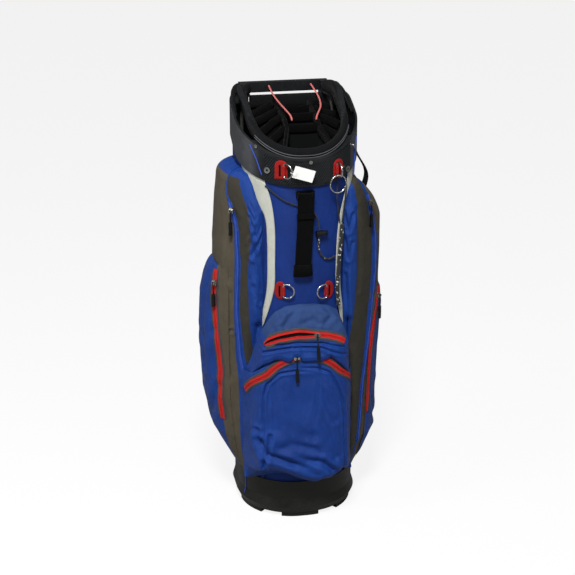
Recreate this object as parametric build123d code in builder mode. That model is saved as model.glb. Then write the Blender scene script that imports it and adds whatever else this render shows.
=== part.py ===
from build123d import *
import math
import os

# Free-standing golf cart bag. Origin: middle of the base on the floor, front towards -Y, +Z up, millimetres.

# Sleeve plan, shared by the base, the sleeve and the collar
BODY_WIDTH = 252
BODY_FRONT = 126
BODY_REAR = 114
FRONT_FLAT = 16
FRONT_RADIUS = (BODY_WIDTH - FRONT_FLAT) / 2
REAR_RADIUS = 70
SLEEVE_WALL = 2.5
FIT = 0.3
SEAM = 0.4

# Base
LUG_HEIGHT = 10
LUG_COUNT = 6
LUG_ARC = 38
LUG_TURN = -4.3
LUG_WIDTH = 30
FLARE_HEIGHT = 25
FLARE_GROW = 9
FOOT_GROW = 2
RIM_HEIGHT = 45
BAND_WALL = 3
BAND_TOP = 88
FLOOR_THICK = 4
FLOOR_TOP = 34
PAD_THICK = 8
FOOT_WALL = 12
CENTRE_FOOT = 22

# Stays
STAY_RADIUS = 4
STAY_IN = 27
STAY_REAR = (BODY_WIDTH / 2 - STAY_IN, BODY_REAR - STAY_IN)
STAY_FRONT = (38, -111)

# Silver stripes: edges seen from the front, as x and z
STRIPE_THICK = 1
STRIPE_TOP = 800
STRIPE_END = 437
STRIPE_LEFT_OUTER = ((-121, STRIPE_TOP), (-102, 735), (-82, 700), (-78, 640), (-80, 540), (-100, STRIPE_END))
STRIPE_LEFT_INNER = ((-94, STRIPE_END), (-66, 540), (-62, 660), (-69, 730), (-90, STRIPE_TOP))
STRIPE_RIGHT_OUTER = ((115, STRIPE_TOP), (92, 715), (82, 670), (79, 600), (82, 520), (98, STRIPE_END))
STRIPE_RIGHT_INNER = ((92, STRIPE_END), (70, 530), (69, 600), (72, 670), (84, 735), (98, STRIPE_TOP))

# Collar and mouth: heights of the rim at the front reach, the middle and the rear reach
RIM_REACH = 150
RIM = (822, 908, 944)
DIVIDER_RIM = (815, 884, 905)
TRIM_TOP = 1000
COLLAR_BOTTOM = 821
TRIM_BOTTOM = COLLAR_BOTTOM - RIM_REACH
COLLAR_SLOPE = 0.4
COLLAR_WALL = 4.5
COLLAR_OUT = FIT + COLLAR_WALL
COLLAR_OVERLAP = 25
SHELL_DROP = 12
LIP_IN = 18
LIP_HALF_WIDTH = BODY_WIDTH / 2 - LIP_IN
LIP_WIDTH = 15
LIP_DEPTH = 18
LIP_FLAT = 8
LIP_FRONT_RADIUS = LIP_HALF_WIDTH - LIP_FLAT
LIP_REAR_RADIUS = 55
DECK_THICK = 4
GRAB_FRONT = -70
GRAB_REAR = 58
SLOT_HALF = 80
REAR_WALL_TOP = 890
REAR_PAD_RISE = 18
REAR_PAD_TOP = REAR_WALL_TOP + REAR_PAD_RISE
REAR_PAD_DEPTH = 26

# Rear handle
HANDLE_HALF = 98
HANDLE_DEPTH = 16
HANDLE_REACH = 141
HANDLE_RISE = 21
HANDLE_HEIGHT = 22
HANDLE_BOTTOM = REAR_WALL_TOP + HANDLE_RISE
HANDLE_TOP = HANDLE_BOTTOM + HANDLE_HEIGHT
HANDLE_ARM = 18
HANDLE_FOOT_DROP = 4
HANDLE_FOOT = REAR_WALL_TOP - HANDLE_FOOT_DROP

# Collar front plate and its studs
PLATE_THICK = 1.2
PLATE_HALF = 92
PLATE_CENTRE = 8
PLATE_MARGIN = 5
RIVET_RADIUS = 6.5
RIVET_HEIGHT = 2.5
RIVET_BORE = 2.5
STUD_RADIUS = 4
STUD_HEIGHT = 3.5
RIVET_SPOTS = ((-78, 803), (92, 794))
STUD_SPOTS = ((PLATE_CENTRE, 821), (-97, 850), (108, 838))

# Dividers
WALL_THICK = 3
WALL_PAD = 10
WALL_PAD_DEPTH = 22
WALL_GAP = 1.2
COLUMN_CENTRE = 14
COLUMN_WIDTH = 70
CROSS_ROWS = (-20, 25, 68)
WELL_FRONT_HALF = 57
WELL_FRONT = 105
SIDE_WALL_STARTS = (-22, 20, 62, 104)

# Side pockets: reach from the middle plane, and the height of the shoulder
POCKET_WALL = 2.5
SIDES = {"left": -1, "right": 1}
APPAREL_REACH = {"left": 178, "right": 187}
APPAREL_SHOULDER = {"left": 774, "right": 690}
ACCESSORY_REACH = {"left": 211, "right": 201}
APPAREL_BOTTOM = 84
APPAREL_TOP = 804
FACET_IN = (108, -104)
FACET_OUT = (168, -58)
FACET_BEND = 30
FLANK_BEND = 38
APPAREL_BROW = (-102, 705)
APPAREL_BROW_SLOPE = 1.41
APPAREL_SEAM_FRONT = (60, -80)
APPAREL_FLANK = (-10, 42)
APPAREL_HEEL = (150, 80)
APPAREL_SEAM_REAR = (80, 84)
APPAREL_SIDE = BODY_WIDTH / 2 + 4
APPAREL_SHOULDER_IN = 8
APPAREL_BELLY = 520
APPAREL_TUCK = (26, 190)
ACCESSORY_TOP = {"left": 584, "right": 522}
ACCESSORY_BOTTOM = 98
ACCESSORY_FACET_IN = (158, -70)
ACCESSORY_FACET_SET = 6
ACCESSORY_FACET_BACK = -20
ACCESSORY_SEAM_FRONT = (120, -40)
ACCESSORY_FLANK = (10, 46)
ACCESSORY_HEEL = (160, 79)
ACCESSORY_SEAM_REAR = (110, 60)
ACCESSORY_BEND = 30
ACCESSORY_SHOULDER_IN = 18
ACCESSORY_BELLY = 390
ACCESSORY_TUCK = (38, 148)
ACCESSORY_FOOT_IN = 72

# Front pockets
POCKET_CENTRE = -10
BALL_BOTTOM = 96
BALL_TOP = 418
BALL_FACE_LOW = (-178, 140)
BALL_FACE_HIGH = (-153, BALL_TOP)
BALL_HALF_FRONT = 98
BALL_HALF_BACK = 118
BALL_CORNER = 22
BALL_TUCK = 24
POCKET_BACK = -40
PURSE_BOTTOM = BALL_TOP + FIT
PURSE_HEIGHT = 93
PURSE_TOP = BALL_TOP + PURSE_HEIGHT
PURSE_HALF = 110
PURSE_FACE_LOW = (-157, BALL_TOP + 6)
PURSE_FACE_HIGH = (-131, BALL_TOP + 90)

# Zips
TAPE_THICK = 1.2
TAPE_HALF = 8
SLIDER_LONG = 13
SLIDER_WIDE = 9
SLIDER_HIGH = 4
EAR_GAP = 3.6
EAR_THICK = 1.6
EAR_LONG = 5
PIN_RADIUS = 1
PIN_FIT = 0.1
EYE_RADIUS = 2
PULL_CORD = 1.3
PULL_DROP = 24
TAB_LONG = 30
TAB_WIDE = 7
TAB_DEEP = 4.4

# Zip arcs: radius, height of the top or middle of the arc, and where it ends and its slider rests, in degrees
BALL_ZIP_RADIUS = 107
BALL_ZIP_DROP = 17
BALL_ZIP_APEX = BALL_TOP - BALL_ZIP_DROP
BALL_ZIP_HALF = 50
BALL_SLIDER_AT = 98
PURSE_ZIP_RADIUS = 193
PURSE_ZIP_RISE = 31
PURSE_ZIP_APEX = BALL_TOP + PURSE_ZIP_RISE
PURSE_ZIP_HALF = 26
PURSE_SLIDER_AT = 81
ACCESSORY_ZIP_RADIUS = 860
ACCESSORY_ZIP_MIDDLE = {"left": 392, "right": 338}
ACCESSORY_ZIP_RISE = 11
ACCESSORY_ZIP_DROP = {"left": 11, "right": 8}
ACCESSORY_SLIDER_AT = 10
ACCESSORY_ZIP_BOW = 14
APPAREL_ZIP_LOW = 150
APPAREL_ZIP_HIGH = 732
APPAREL_ZIP_SET = 11
APPAREL_SLIDER_HEIGHT = 710

# Red tabs and D-rings: middle of each tab on the front, with the way its ring points
TAB_WIDTH = 26
TAB_HEIGHT = 40
TAB_PLATE = 2
ROLL_RADIUS = 3.6
ROLL_LENGTH = 18
ROLL_OUT = 7
ROLL_SINK = 0.6
RING_WIRE = 1.6
RING_FIT = 0.1
RING_RADIUS = 15
RING_CORNER = 4
RING_FLAT = 4
UPPER_LEFT = (-52, 806)
UPPER_RIGHT = (69, 801)
LOWER_LEFT = (-52, PURSE_TOP + 30)
LOWER_RIGHT = (50, PURSE_TOP + 25)
KEY_RING_RADIUS = 18.4
KEY_RING_TURN = 75
TAG_RING_TURN = 35

# Blank tag and its loop
LOOP_WIRE = 0.5
TAG_LONG = 44
TAG_WIDE = 25
TAG_THICK = 0.8
TAG_HOLE = LOOP_WIRE + FIT
TAG_MARGIN = 7
TAG_TURN = -57
TAG_DROP = 18
LOOP_RADIUS = 6.5
LOOP_SET = 4

# Towel strap
STRAP_X = -2
STRAP_TOP = 752
STRAP_LONG = 176
STRAP_WIDE = 35
STRAP_THICK = 5
STRAP_STAND = 9
STRAP_NECK = 26
STRAP_NECK_LONG = 28
STRAP_EYE = 4.6
STRAP_PIN = 2
ANCHOR_WIDE = 39
ANCHOR_TALL = 16
ANCHOR_PLATE = 3
ANCHOR_EAR = 4
ANCHOR_CORNER = 3
SLEEVE_LONG = 24
SLEEVE_EDGE = 3

# Cord lock
LOCK_X = 28
LOCK_HEIGHT = 667
LOCK_RADIUS = 6
LOCK_LONG = 18
LOCK_STAND = 7.5
LOCK_BORE = 3.6
LOCK_FLOOR = 2
PLUNGER_LONG = 16
PLUNGER_OUT = 7
PLUNGER_FIT = 0.1
BUTTON_RADIUS = 5
BUTTON_THICK = 2

# Cords
DRAWCORD = 3
TAIL_CORD = 4
STRAND_CORD = 3
ROPE = 9
RED_CORD = 3.6
CORD_LIFT = 3.2

# Shoulder strap: lines seen from the front, as x and z
STRAP_BAND_Y = 84
STRAP_BAND_WIDE = 42
STRAP_PAD_THICK = 13
STRAP_PAD_BEND = 150
STRAP_PAD_LINE = ((166, 664), (170, 470), (152, 270))
STRAP_WEB_THICK = 4
STRAP_WEB_WIDE = 30
STRAP_WEB_BEND = 24
STRAP_UPPER_LINE = ((92, 884), (132, 842), (158, 776), (185, 722), (167, 665.3))
STRAP_LOWER_LINE = ((152, 269.5), (144, 190), (86, 106))
SLIDE_WIDE = 40
SLIDE_HIGH = 22
SLIDE_THICK = 9

PIECES = {}


def plan(grow=0):
    """Outline of the sleeve seen from above, grown outwards."""
    with BuildSketch(mode=Mode.PRIVATE) as outline:
        with Locations((0, (BODY_REAR - BODY_FRONT) / 2)):
            Rectangle(BODY_WIDTH + 2 * grow, BODY_FRONT + BODY_REAR + 2 * grow)
        fillet(outline.vertices().group_by(Axis.Y)[0], FRONT_RADIUS + grow)
        fillet(outline.vertices().group_by(Axis.Y)[-1], REAR_RADIUS + grow)
    return outline.sketch


def lip_plan(grow=0):
    """Outline of the padded mouth ring, which leaves a hand gap at each side of the collar."""
    front = BODY_FRONT - FIT
    rear = BODY_REAR - FIT
    with BuildSketch(mode=Mode.PRIVATE) as outline:
        with Locations((0, (rear - front) / 2)):
            Rectangle(2 * (LIP_HALF_WIDTH + grow), front + rear + 2 * grow)
        fillet(outline.vertices().group_by(Axis.Y)[0], LIP_FRONT_RADIUS + grow)
        fillet(outline.vertices().group_by(Axis.Y)[-1], LIP_REAR_RADIUS + grow)
    return outline.sketch


def trim_rim(heights, drop=0, upper=True):
    """Cut away what is above, or below, the rim curve seen from the side."""
    front, middle, rear = (height - drop for height in heights)
    far = TRIM_TOP if upper else 0
    with BuildSketch(Plane.YZ) as waste:
        with BuildLine():
            rim = ThreePointArc((-RIM_REACH, front), (0, middle), (RIM_REACH, rear))
            Polyline(rim @ 1, (RIM_REACH, far), (-RIM_REACH, far), rim @ 0)
        make_face()
    extrude(waste.sketch, amount=2 * RIM_REACH, both=True, mode=Mode.SUBTRACT)


def collar_plane(height):
    """Sloping plane, parallel to the collar's lower edge."""
    return Plane((0, 0, height), x_dir=(1, 0, 0), z_dir=(0, -COLLAR_SLOPE, 1))


def front_plane(x, z, grow=0):
    """Plane that touches the front of the sleeve at x: its own x along the front, y up and z outwards."""
    radius = FRONT_RADIUS + grow
    across = max(abs(x) - (BODY_WIDTH / 2 - FRONT_RADIUS), 0)
    turn = math.asin(across / radius)
    side = math.copysign(1, x)
    origin = (x, FRONT_RADIUS - BODY_FRONT - radius * math.cos(turn), z)
    along = (math.cos(turn), side * math.sin(turn), 0)
    return Plane(origin, x_dir=along, z_dir=(side * math.sin(turn), -math.cos(turn), 0))


def point_on(plane, x, y, z=0):
    """Point given in a plane's own coordinates."""
    return plane.from_local_coords(Vector(x, y, z))


def cord(name, diameter, *routes):
    """Tube along straight runs joined by arcs as large as the runs allow."""
    expected = 0
    with BuildPart() as tube:
        for route in routes:
            points = [Vector(*point) for point in route]
            runs = [end - start for start, end in zip(points, points[1:])]
            radii = []
            for before, after in zip(runs, runs[1:]):
                half_turn = math.radians(before.get_angle(after) / 2)
                radii.append(0.45 * min(before.length, after.length) / math.tan(half_turn))
            with BuildLine() as path:
                FilletPolyline(*points, radius=radii)
            wire = path.wire()
            with BuildSketch(Plane(wire @ 0, z_dir=wire % 0)):
                Circle(diameter / 2)
            sweep(path=wire)
            expected += math.pi * diameter**2 / 4 * wire.length
            print(name, "radii", [round(radius) for radius in radii], "length", round(wire.length))
    print(name, "section times length", round(expected))
    print(name, "volume", round(tube.part.volume))
    PIECES[name] = tube.part


# Base: cup with a floor, a band, a flared foot ring, lugs and a foot under its middle
lug_ring = plan() - plan(-LUG_WIDTH)
with BuildPart() as base_cup:
    for height, grow in ((LUG_HEIGHT, FOOT_GROW), (FLARE_HEIGHT, FLARE_GROW), (RIM_HEIGHT, FIT + BAND_WALL)):
        with BuildSketch(Plane.XY.offset(height)):
            add(plan(grow))
    loft(ruled=True)
    with BuildSketch(Plane.XY.offset(RIM_HEIGHT)):
        add(plan(FIT + BAND_WALL))
    extrude(amount=BAND_TOP - RIM_HEIGHT)
    with BuildSketch(Plane.XY.offset(FLOOR_TOP)):
        add(plan(FIT))
    extrude(amount=BAND_TOP - FLOOR_TOP, mode=Mode.SUBTRACT)
    with BuildSketch(Plane.XY.offset(LUG_HEIGHT)):
        add(plan(FOOT_GROW - FOOT_WALL))
    extrude(amount=FLOOR_TOP - FLOOR_THICK - LUG_HEIGHT, mode=Mode.SUBTRACT)
    with BuildSketch():
        with PolarLocations(0, LUG_COUNT, start_angle=LUG_TURN - 90):
            far = 2 * BODY_WIDTH
            half = far * math.tan(math.radians(LUG_ARC / 2))
            Polygon((0, 0), (far, -half), (far, half), align=None)
        add(lug_ring, mode=Mode.INTERSECT)
    extrude(amount=LUG_HEIGHT)
    with BuildSketch():
        Circle(CENTRE_FOOT)
    extrude(amount=FLOOR_TOP - FLOOR_THICK)
PIECES["base_cup"] = base_cup.part

# Stays stand on the floor and end under the collar's deck
stay_spots = [(side * x, y) for x, y in (STAY_REAR, STAY_FRONT) for side in SIDES.values()]
with BuildPart() as stay_rods:
    with BuildSketch(Plane.XY.offset(FLOOR_TOP)):
        with Locations(*stay_spots):
            Circle(STAY_RADIUS)
    extrude(amount=TRIM_TOP - FLOOR_TOP)
    trim_rim(RIM, LIP_DEPTH + 2 * FIT + DECK_THICK)
PIECES["stay_rods"] = stay_rods.part

with BuildPart() as bottom_pad:
    with BuildSketch(Plane.XY.offset(FLOOR_TOP)):
        add(plan(-SLEEVE_WALL - FIT))
        with Locations(*stay_spots):
            Circle(STAY_RADIUS + FIT, mode=Mode.SUBTRACT)
    extrude(amount=PAD_THICK)
PIECES["bottom_pad"] = bottom_pad.part

# Sleeve panels, seamed at the four corners of the plan
PANELS = {"front_panel": -90, "right_side_panel": 0, "spine_panel": 90, "left_side_panel": 180}
PANEL_FAR = BODY_WIDTH
for panel_name, panel_turn in PANELS.items():
    with BuildPart() as panel:
        with BuildSketch(Plane.XY.offset(FLOOR_TOP)):
            add(plan())
            add(plan(-SLEEVE_WALL), mode=Mode.SUBTRACT)
            with Locations(Location((0, 0, 0), (0, 0, panel_turn))):
                Polygon(
                    (SEAM, 0),
                    (PANEL_FAR + SEAM, -PANEL_FAR),
                    (PANEL_FAR + SEAM, PANEL_FAR),
                    align=None,
                    mode=Mode.INTERSECT,
                )
        extrude(amount=TRIM_TOP - FLOOR_TOP)
        split(bisect_by=collar_plane(COLLAR_BOTTOM + COLLAR_OVERLAP), keep=Keep.BOTTOM)
    PIECES[panel_name] = panel.part

# Silver stripes: curved strips sewn on the front of the sleeve
with BuildPart() as silver_stripes:
    with BuildSketch():
        add(plan(FIT + STRIPE_THICK))
        add(plan(FIT), mode=Mode.SUBTRACT)
    extrude(amount=STRIPE_TOP)
    split(bisect_by=collar_plane(COLLAR_BOTTOM - FIT), keep=Keep.BOTTOM)
    with BuildSketch(Plane.XZ):
        with BuildLine():
            outer = Spline(*STRIPE_LEFT_OUTER)
            inner = Spline(*STRIPE_LEFT_INNER)
            Line(outer @ 1, inner @ 0)
            Line(inner @ 1, outer @ 0)
        make_face()
        with BuildLine():
            outer = Spline(*STRIPE_RIGHT_OUTER)
            inner = Spline(*STRIPE_RIGHT_INNER)
            Line(outer @ 1, inner @ 0)
            Line(inner @ 1, outer @ 0)
        make_face()
    extrude(amount=BODY_WIDTH, mode=Mode.INTERSECT)
PIECES["silver_stripes"] = silver_stripes.part

# Collar: deck under the mouth ring, then the shell round it
with BuildPart() as collar_deck:
    with BuildSketch(Plane.XY.offset(TRIM_BOTTOM)):
        add(plan(FIT + COLLAR_WALL / 2))
        add(lip_plan(-LIP_WIDTH), mode=Mode.SUBTRACT)
        with Locations((0, (GRAB_FRONT + GRAB_REAR) / 2)):
            Rectangle(2 * BODY_WIDTH, GRAB_REAR - GRAB_FRONT, mode=Mode.SUBTRACT)
        with Locations((0, BODY_REAR)):
            Rectangle(2 * SLOT_HALF, BODY_REAR, mode=Mode.SUBTRACT)
    extrude(amount=TRIM_TOP - TRIM_BOTTOM)
    trim_rim(RIM, LIP_DEPTH + FIT)
    trim_rim(RIM, LIP_DEPTH + FIT + DECK_THICK, upper=False)

with BuildPart() as collar_shell:
    with BuildSketch(Plane.XY.offset(TRIM_BOTTOM)):
        add(plan(COLLAR_OUT))
        add(plan(FIT), mode=Mode.SUBTRACT)
    extrude(amount=TRIM_TOP - TRIM_BOTTOM)
    split(bisect_by=collar_plane(COLLAR_BOTTOM), keep=Keep.TOP)
    trim_rim(RIM, SHELL_DROP)
    with BuildSketch(Plane.XY.offset(REAR_WALL_TOP)):
        with Locations((0, BODY_REAR)):
            Rectangle(2 * SLOT_HALF, BODY_REAR)
    extrude(amount=TRIM_TOP - REAR_WALL_TOP, mode=Mode.SUBTRACT)
    add(collar_deck.part)
PIECES["collar_shell"] = collar_shell.part

with BuildPart() as collar_lip:
    with BuildSketch(Plane.XY.offset(TRIM_BOTTOM)):
        add(lip_plan(-FIT))
        add(lip_plan(-LIP_WIDTH), mode=Mode.SUBTRACT)
        with Locations((0, BODY_REAR)):
            Rectangle(2 * SLOT_HALF, BODY_REAR, mode=Mode.SUBTRACT)
    extrude(amount=TRIM_TOP - TRIM_BOTTOM)
    trim_rim(RIM)
    trim_rim(RIM, LIP_DEPTH, upper=False)
    with BuildSketch(Plane.XY.offset(REAR_PAD_TOP - REAR_PAD_DEPTH)):
        add(plan(-SLEEVE_WALL - FIT))
        add(lip_plan(-LIP_WIDTH), mode=Mode.SUBTRACT)
        with Locations((0, BODY_REAR)):
            Rectangle(2 * (SLOT_HALF - FIT), BODY_REAR, mode=Mode.INTERSECT)
    extrude(amount=REAR_PAD_DEPTH)
PIECES["collar_lip"] = collar_lip.part

# Carry bar behind the mouth, on two arms that close on the collar's rear corners
arm_long = HANDLE_REACH - BODY_REAR + 2 * HANDLE_DEPTH
with BuildPart() as rear_handle:
    with BuildSketch(Plane.XY.offset(HANDLE_BOTTOM)):
        with Locations((0, HANDLE_REACH - HANDLE_DEPTH / 2)):
            RectangleRounded(2 * HANDLE_HALF, HANDLE_DEPTH, HANDLE_DEPTH / 3)
    extrude(amount=HANDLE_TOP - HANDLE_BOTTOM)
    with BuildSketch(Plane.XY.offset(HANDLE_FOOT)):
        for side in SIDES.values():
            with Locations((side * (HANDLE_HALF - HANDLE_ARM / 2), HANDLE_REACH - arm_long / 2)):
                Rectangle(HANDLE_ARM, arm_long)
    extrude(amount=HANDLE_TOP - HANDLE_FOOT)
    with BuildSketch():
        add(plan(COLLAR_OUT + FIT))
    extrude(amount=TRIM_TOP, mode=Mode.SUBTRACT)
PIECES["rear_handle"] = rear_handle.part

with BuildPart() as collar_front_panel:
    with BuildSketch(Plane.XY.offset(TRIM_BOTTOM)):
        add(plan(COLLAR_OUT + FIT + PLATE_THICK))
        add(plan(COLLAR_OUT + FIT), mode=Mode.SUBTRACT)
        with Locations((PLATE_CENTRE, -BODY_FRONT)):
            Rectangle(2 * PLATE_HALF, BODY_FRONT, mode=Mode.INTERSECT)
    extrude(amount=TRIM_TOP - TRIM_BOTTOM)
    split(bisect_by=collar_plane(COLLAR_BOTTOM + PLATE_MARGIN), keep=Keep.TOP)
    trim_rim(RIM, SHELL_DROP + PLATE_MARGIN)
PIECES["collar_front_panel"] = collar_front_panel.part

PLATE_OUT = COLLAR_OUT + FIT + PLATE_THICK + FIT
with BuildPart() as collar_rivets:
    for x, z in RIVET_SPOTS:
        with BuildSketch(front_plane(x, z, PLATE_OUT)):
            Circle(RIVET_RADIUS)
            Circle(RIVET_BORE, mode=Mode.SUBTRACT)
        extrude(amount=RIVET_HEIGHT)
PIECES["collar_rivets"] = collar_rivets.part

with BuildPart() as hood_studs:
    for (x, z), grow in zip(STUD_SPOTS, (PLATE_OUT, COLLAR_OUT + FIT, COLLAR_OUT + FIT)):
        with BuildSketch(front_plane(x, z, grow)):
            Circle(STUD_RADIUS)
        extrude(amount=STUD_HEIGHT)
PIECES["hood_studs"] = hood_studs.part


# Full length dividers: thin walls with a padded top roll
def divider(name, *walls):
    """Upright walls between pairs of plan points, cut to the mouth and the divider rim."""

    def footprint(thick):
        for start, end in walls:
            run = Vector(*end) - Vector(*start)
            middle = (Vector(*end) + Vector(*start)) / 2
            angle = math.degrees(math.atan2(run.Y, run.X))
            with Locations(Location((middle.X, middle.Y, 0), (0, 0, angle))):
                Rectangle(run.length, thick)
        add(lip_plan(-LIP_WIDTH - WALL_GAP), mode=Mode.INTERSECT)

    with BuildPart() as built:
        with BuildSketch(Plane.XY.offset(TRIM_BOTTOM)):
            footprint(WALL_PAD)
        extrude(amount=TRIM_TOP - TRIM_BOTTOM)
        trim_rim(DIVIDER_RIM, WALL_PAD_DEPTH, upper=False)
        with BuildSketch(Plane.XY.offset(FLOOR_TOP + PAD_THICK)):
            footprint(WALL_THICK)
        extrude(amount=TRIM_TOP - FLOOR_TOP - PAD_THICK)
        trim_rim(DIVIDER_RIM)
    PIECES[name] = built.part


column_x = {name: COLUMN_CENTRE + side * COLUMN_WIDTH / 2 for name, side in SIDES.items()}
row_end = WALL_PAD / 2 + WALL_GAP
cross_walls = [((column_x["left"] + row_end, row), (column_x["right"] - row_end, row)) for row in CROSS_ROWS]
column_walls = [((x, CROSS_ROWS[0]), (x, BODY_REAR)) for x in column_x.values()]
putter_walls = []
side_walls = []
for side_name, side in SIDES.items():
    putter_start = (column_x[side_name], CROSS_ROWS[0] - row_end)
    putter_walls.append((putter_start, (COLUMN_CENTRE + side * WELL_FRONT_HALF, -WELL_FRONT)))
    begin = column_x[side_name] + side * (WALL_PAD + WALL_GAP)
    for start in SIDE_WALL_STARTS:
        side_walls.append(((begin, start), (begin + side * BODY_WIDTH, start - BODY_WIDTH)))
divider("centre_dividers", *cross_walls, *column_walls, *putter_walls)
divider("side_dividers", *side_walls)


# Pockets keep clear of the base, the sleeve and the collar
with BuildPart() as bag_envelope:
    with BuildSketch():
        add(plan(PLATE_OUT + RIVET_HEIGHT + FIT))
    extrude(amount=TRIM_TOP)
    split(bisect_by=collar_plane(COLLAR_BOTTOM - FIT), keep=Keep.TOP)
    with BuildSketch():
        add(plan(BAND_WALL + FIT + FIT))
    extrude(amount=BAND_TOP + FIT)
    with BuildSketch():
        add(plan(FIT + STRIPE_THICK + FIT))
    extrude(amount=TRIM_TOP)


def pocket(name, outer, inner, *keep_out):
    """Hollow pocket: the outer form less the inner one, clear of its neighbours."""
    with BuildPart() as built:
        add(outer)
        add(bag_envelope.part, mode=Mode.SUBTRACT)
        for solid in keep_out:
            add(solid, mode=Mode.SUBTRACT)
        add(inner, mode=Mode.SUBTRACT)
    PIECES[name] = built.part


def apparel_form(name, inset):
    """Tall pocket that wraps the side of the sleeve, with a flat front facet for its zip."""
    side = SIDES[name]
    reach = APPAREL_REACH[name]
    shoulder = APPAREL_SHOULDER[name]
    with BuildPart() as form:
        with BuildSketch() as foot:
            corners = (
                APPAREL_SEAM_FRONT,
                FACET_IN,
                FACET_OUT,
                (reach, APPAREL_FLANK[0]),
                (reach, APPAREL_FLANK[1]),
                APPAREL_HEEL,
                APPAREL_SEAM_REAR,
            )
            with BuildLine():
                Polyline(*[(side * x, y) for x, y in corners], close=True)
            make_face()
            outside = foot.vertices().sort_by_distance((side * 2 * reach, 0))
            fillet(outside[:2], FLANK_BEND)
            fillet(foot.vertices().sort_by_distance((side * FACET_OUT[0], FACET_OUT[1]))[0], FACET_BEND)
            offset(amount=-inset)
        extrude(amount=TRIM_TOP)
        with BuildSketch(Plane.XZ) as outline:
            with BuildLine():
                flank = ThreePointArc(
                    (side * (reach - APPAREL_SHOULDER_IN), shoulder),
                    (side * reach, APPAREL_BELLY),
                    (side * (reach - APPAREL_TUCK[0]), APPAREL_TUCK[1]),
                )
                Polyline(
                    flank @ 1,
                    (side * APPAREL_SIDE, APPAREL_BOTTOM),
                    (0, APPAREL_BOTTOM),
                    (0, APPAREL_TOP),
                    (side * APPAREL_SIDE, APPAREL_TOP),
                    flank @ 0,
                )
            make_face()
            offset(amount=-inset)
        extrude(amount=BODY_WIDTH, both=True, mode=Mode.INTERSECT)
        brow_lean = Vector(0, -APPAREL_BROW_SLOPE, 1).normalized()
        brow = Plane((0, APPAREL_BROW[0], APPAREL_BROW[1]), x_dir=(1, 0, 0), z_dir=brow_lean)
        split(bisect_by=brow.offset(-inset), keep=Keep.BOTTOM)
    return form.part


def accessory_form(name, inset):
    """Full pocket on the outside of the tall one, with a flat front facet for its zip."""
    side = SIDES[name]
    reach = ACCESSORY_REACH[name]
    with BuildPart() as form:
        with BuildSketch() as foot:
            facet_out = (reach - ACCESSORY_FACET_SET, ACCESSORY_FACET_BACK)
            corners = (
                ACCESSORY_SEAM_FRONT,
                ACCESSORY_FACET_IN,
                facet_out,
                (reach, ACCESSORY_FLANK[0]),
                (reach, ACCESSORY_FLANK[1]),
                ACCESSORY_HEEL,
                ACCESSORY_SEAM_REAR,
            )
            with BuildLine():
                Polyline(*[(side * x, y) for x, y in corners], close=True)
            make_face()
            outside = foot.vertices().sort_by_distance((side * 2 * reach, ACCESSORY_FLANK[1]))
            fillet(outside[:1], ACCESSORY_BEND)
            offset(amount=-inset)
        extrude(amount=TRIM_TOP)
        with BuildSketch(Plane.XZ):
            with BuildLine():
                flank = ThreePointArc(
                    (side * (reach - ACCESSORY_SHOULDER_IN), ACCESSORY_TOP[name]),
                    (side * reach, ACCESSORY_BELLY),
                    (side * (reach - ACCESSORY_TUCK[0]), ACCESSORY_TUCK[1]),
                )
                Polyline(
                    flank @ 1,
                    (side * (reach - ACCESSORY_FOOT_IN), ACCESSORY_BOTTOM),
                    (0, ACCESSORY_BOTTOM),
                    (0, ACCESSORY_TOP[name]),
                    flank @ 0,
                )
            make_face()
            offset(amount=-inset)
        extrude(amount=BODY_WIDTH, both=True, mode=Mode.INTERSECT)
    return form.part


tall_clearances = {side_name: apparel_form(side_name, -FIT) for side_name in SIDES}
for side_name in SIDES:
    pocket(side_name + "_apparel_pocket", apparel_form(side_name, 0), apparel_form(side_name, POCKET_WALL))
    pocket(
        side_name + "_accessory_pocket",
        accessory_form(side_name, 0),
        accessory_form(side_name, POCKET_WALL),
        tall_clearances[side_name],
    )


def ball_form(inset):
    """Front pocket with a sloping face and drawn-in bottom."""
    with BuildPart() as form:
        with BuildSketch() as foot:
            with BuildLine():
                half_back = BALL_HALF_BACK - inset
                half_front = BALL_HALF_FRONT - inset
                Polyline(
                    (POCKET_CENTRE - half_back, POCKET_BACK),
                    (POCKET_CENTRE - half_front, BALL_FACE_LOW[0]),
                    (POCKET_CENTRE + half_front, BALL_FACE_LOW[0]),
                    (POCKET_CENTRE + half_back, POCKET_BACK),
                    close=True,
                )
            make_face()
        extrude(amount=TRIM_TOP)
        with BuildSketch(Plane.YZ):
            with BuildLine():
                Polyline(
                    (POCKET_BACK, BALL_BOTTOM),
                    (BALL_FACE_LOW[0] + BALL_TUCK, BALL_BOTTOM),
                    BALL_FACE_LOW,
                    BALL_FACE_HIGH,
                    (POCKET_BACK, BALL_TOP),
                    close=True,
                )
            make_face()
            offset(amount=-inset)
        extrude(amount=BODY_WIDTH, both=True, mode=Mode.INTERSECT)
        front_edges = [edge for edge in form.edges() if edge.center().Y < -BODY_FRONT]
        fillet([edge for edge in front_edges if edge.length > BALL_TOP / 2], BALL_CORNER - inset)
    return form.part


pocket("ball_pocket", ball_form(0), ball_form(POCKET_WALL), *tall_clearances.values())


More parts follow.
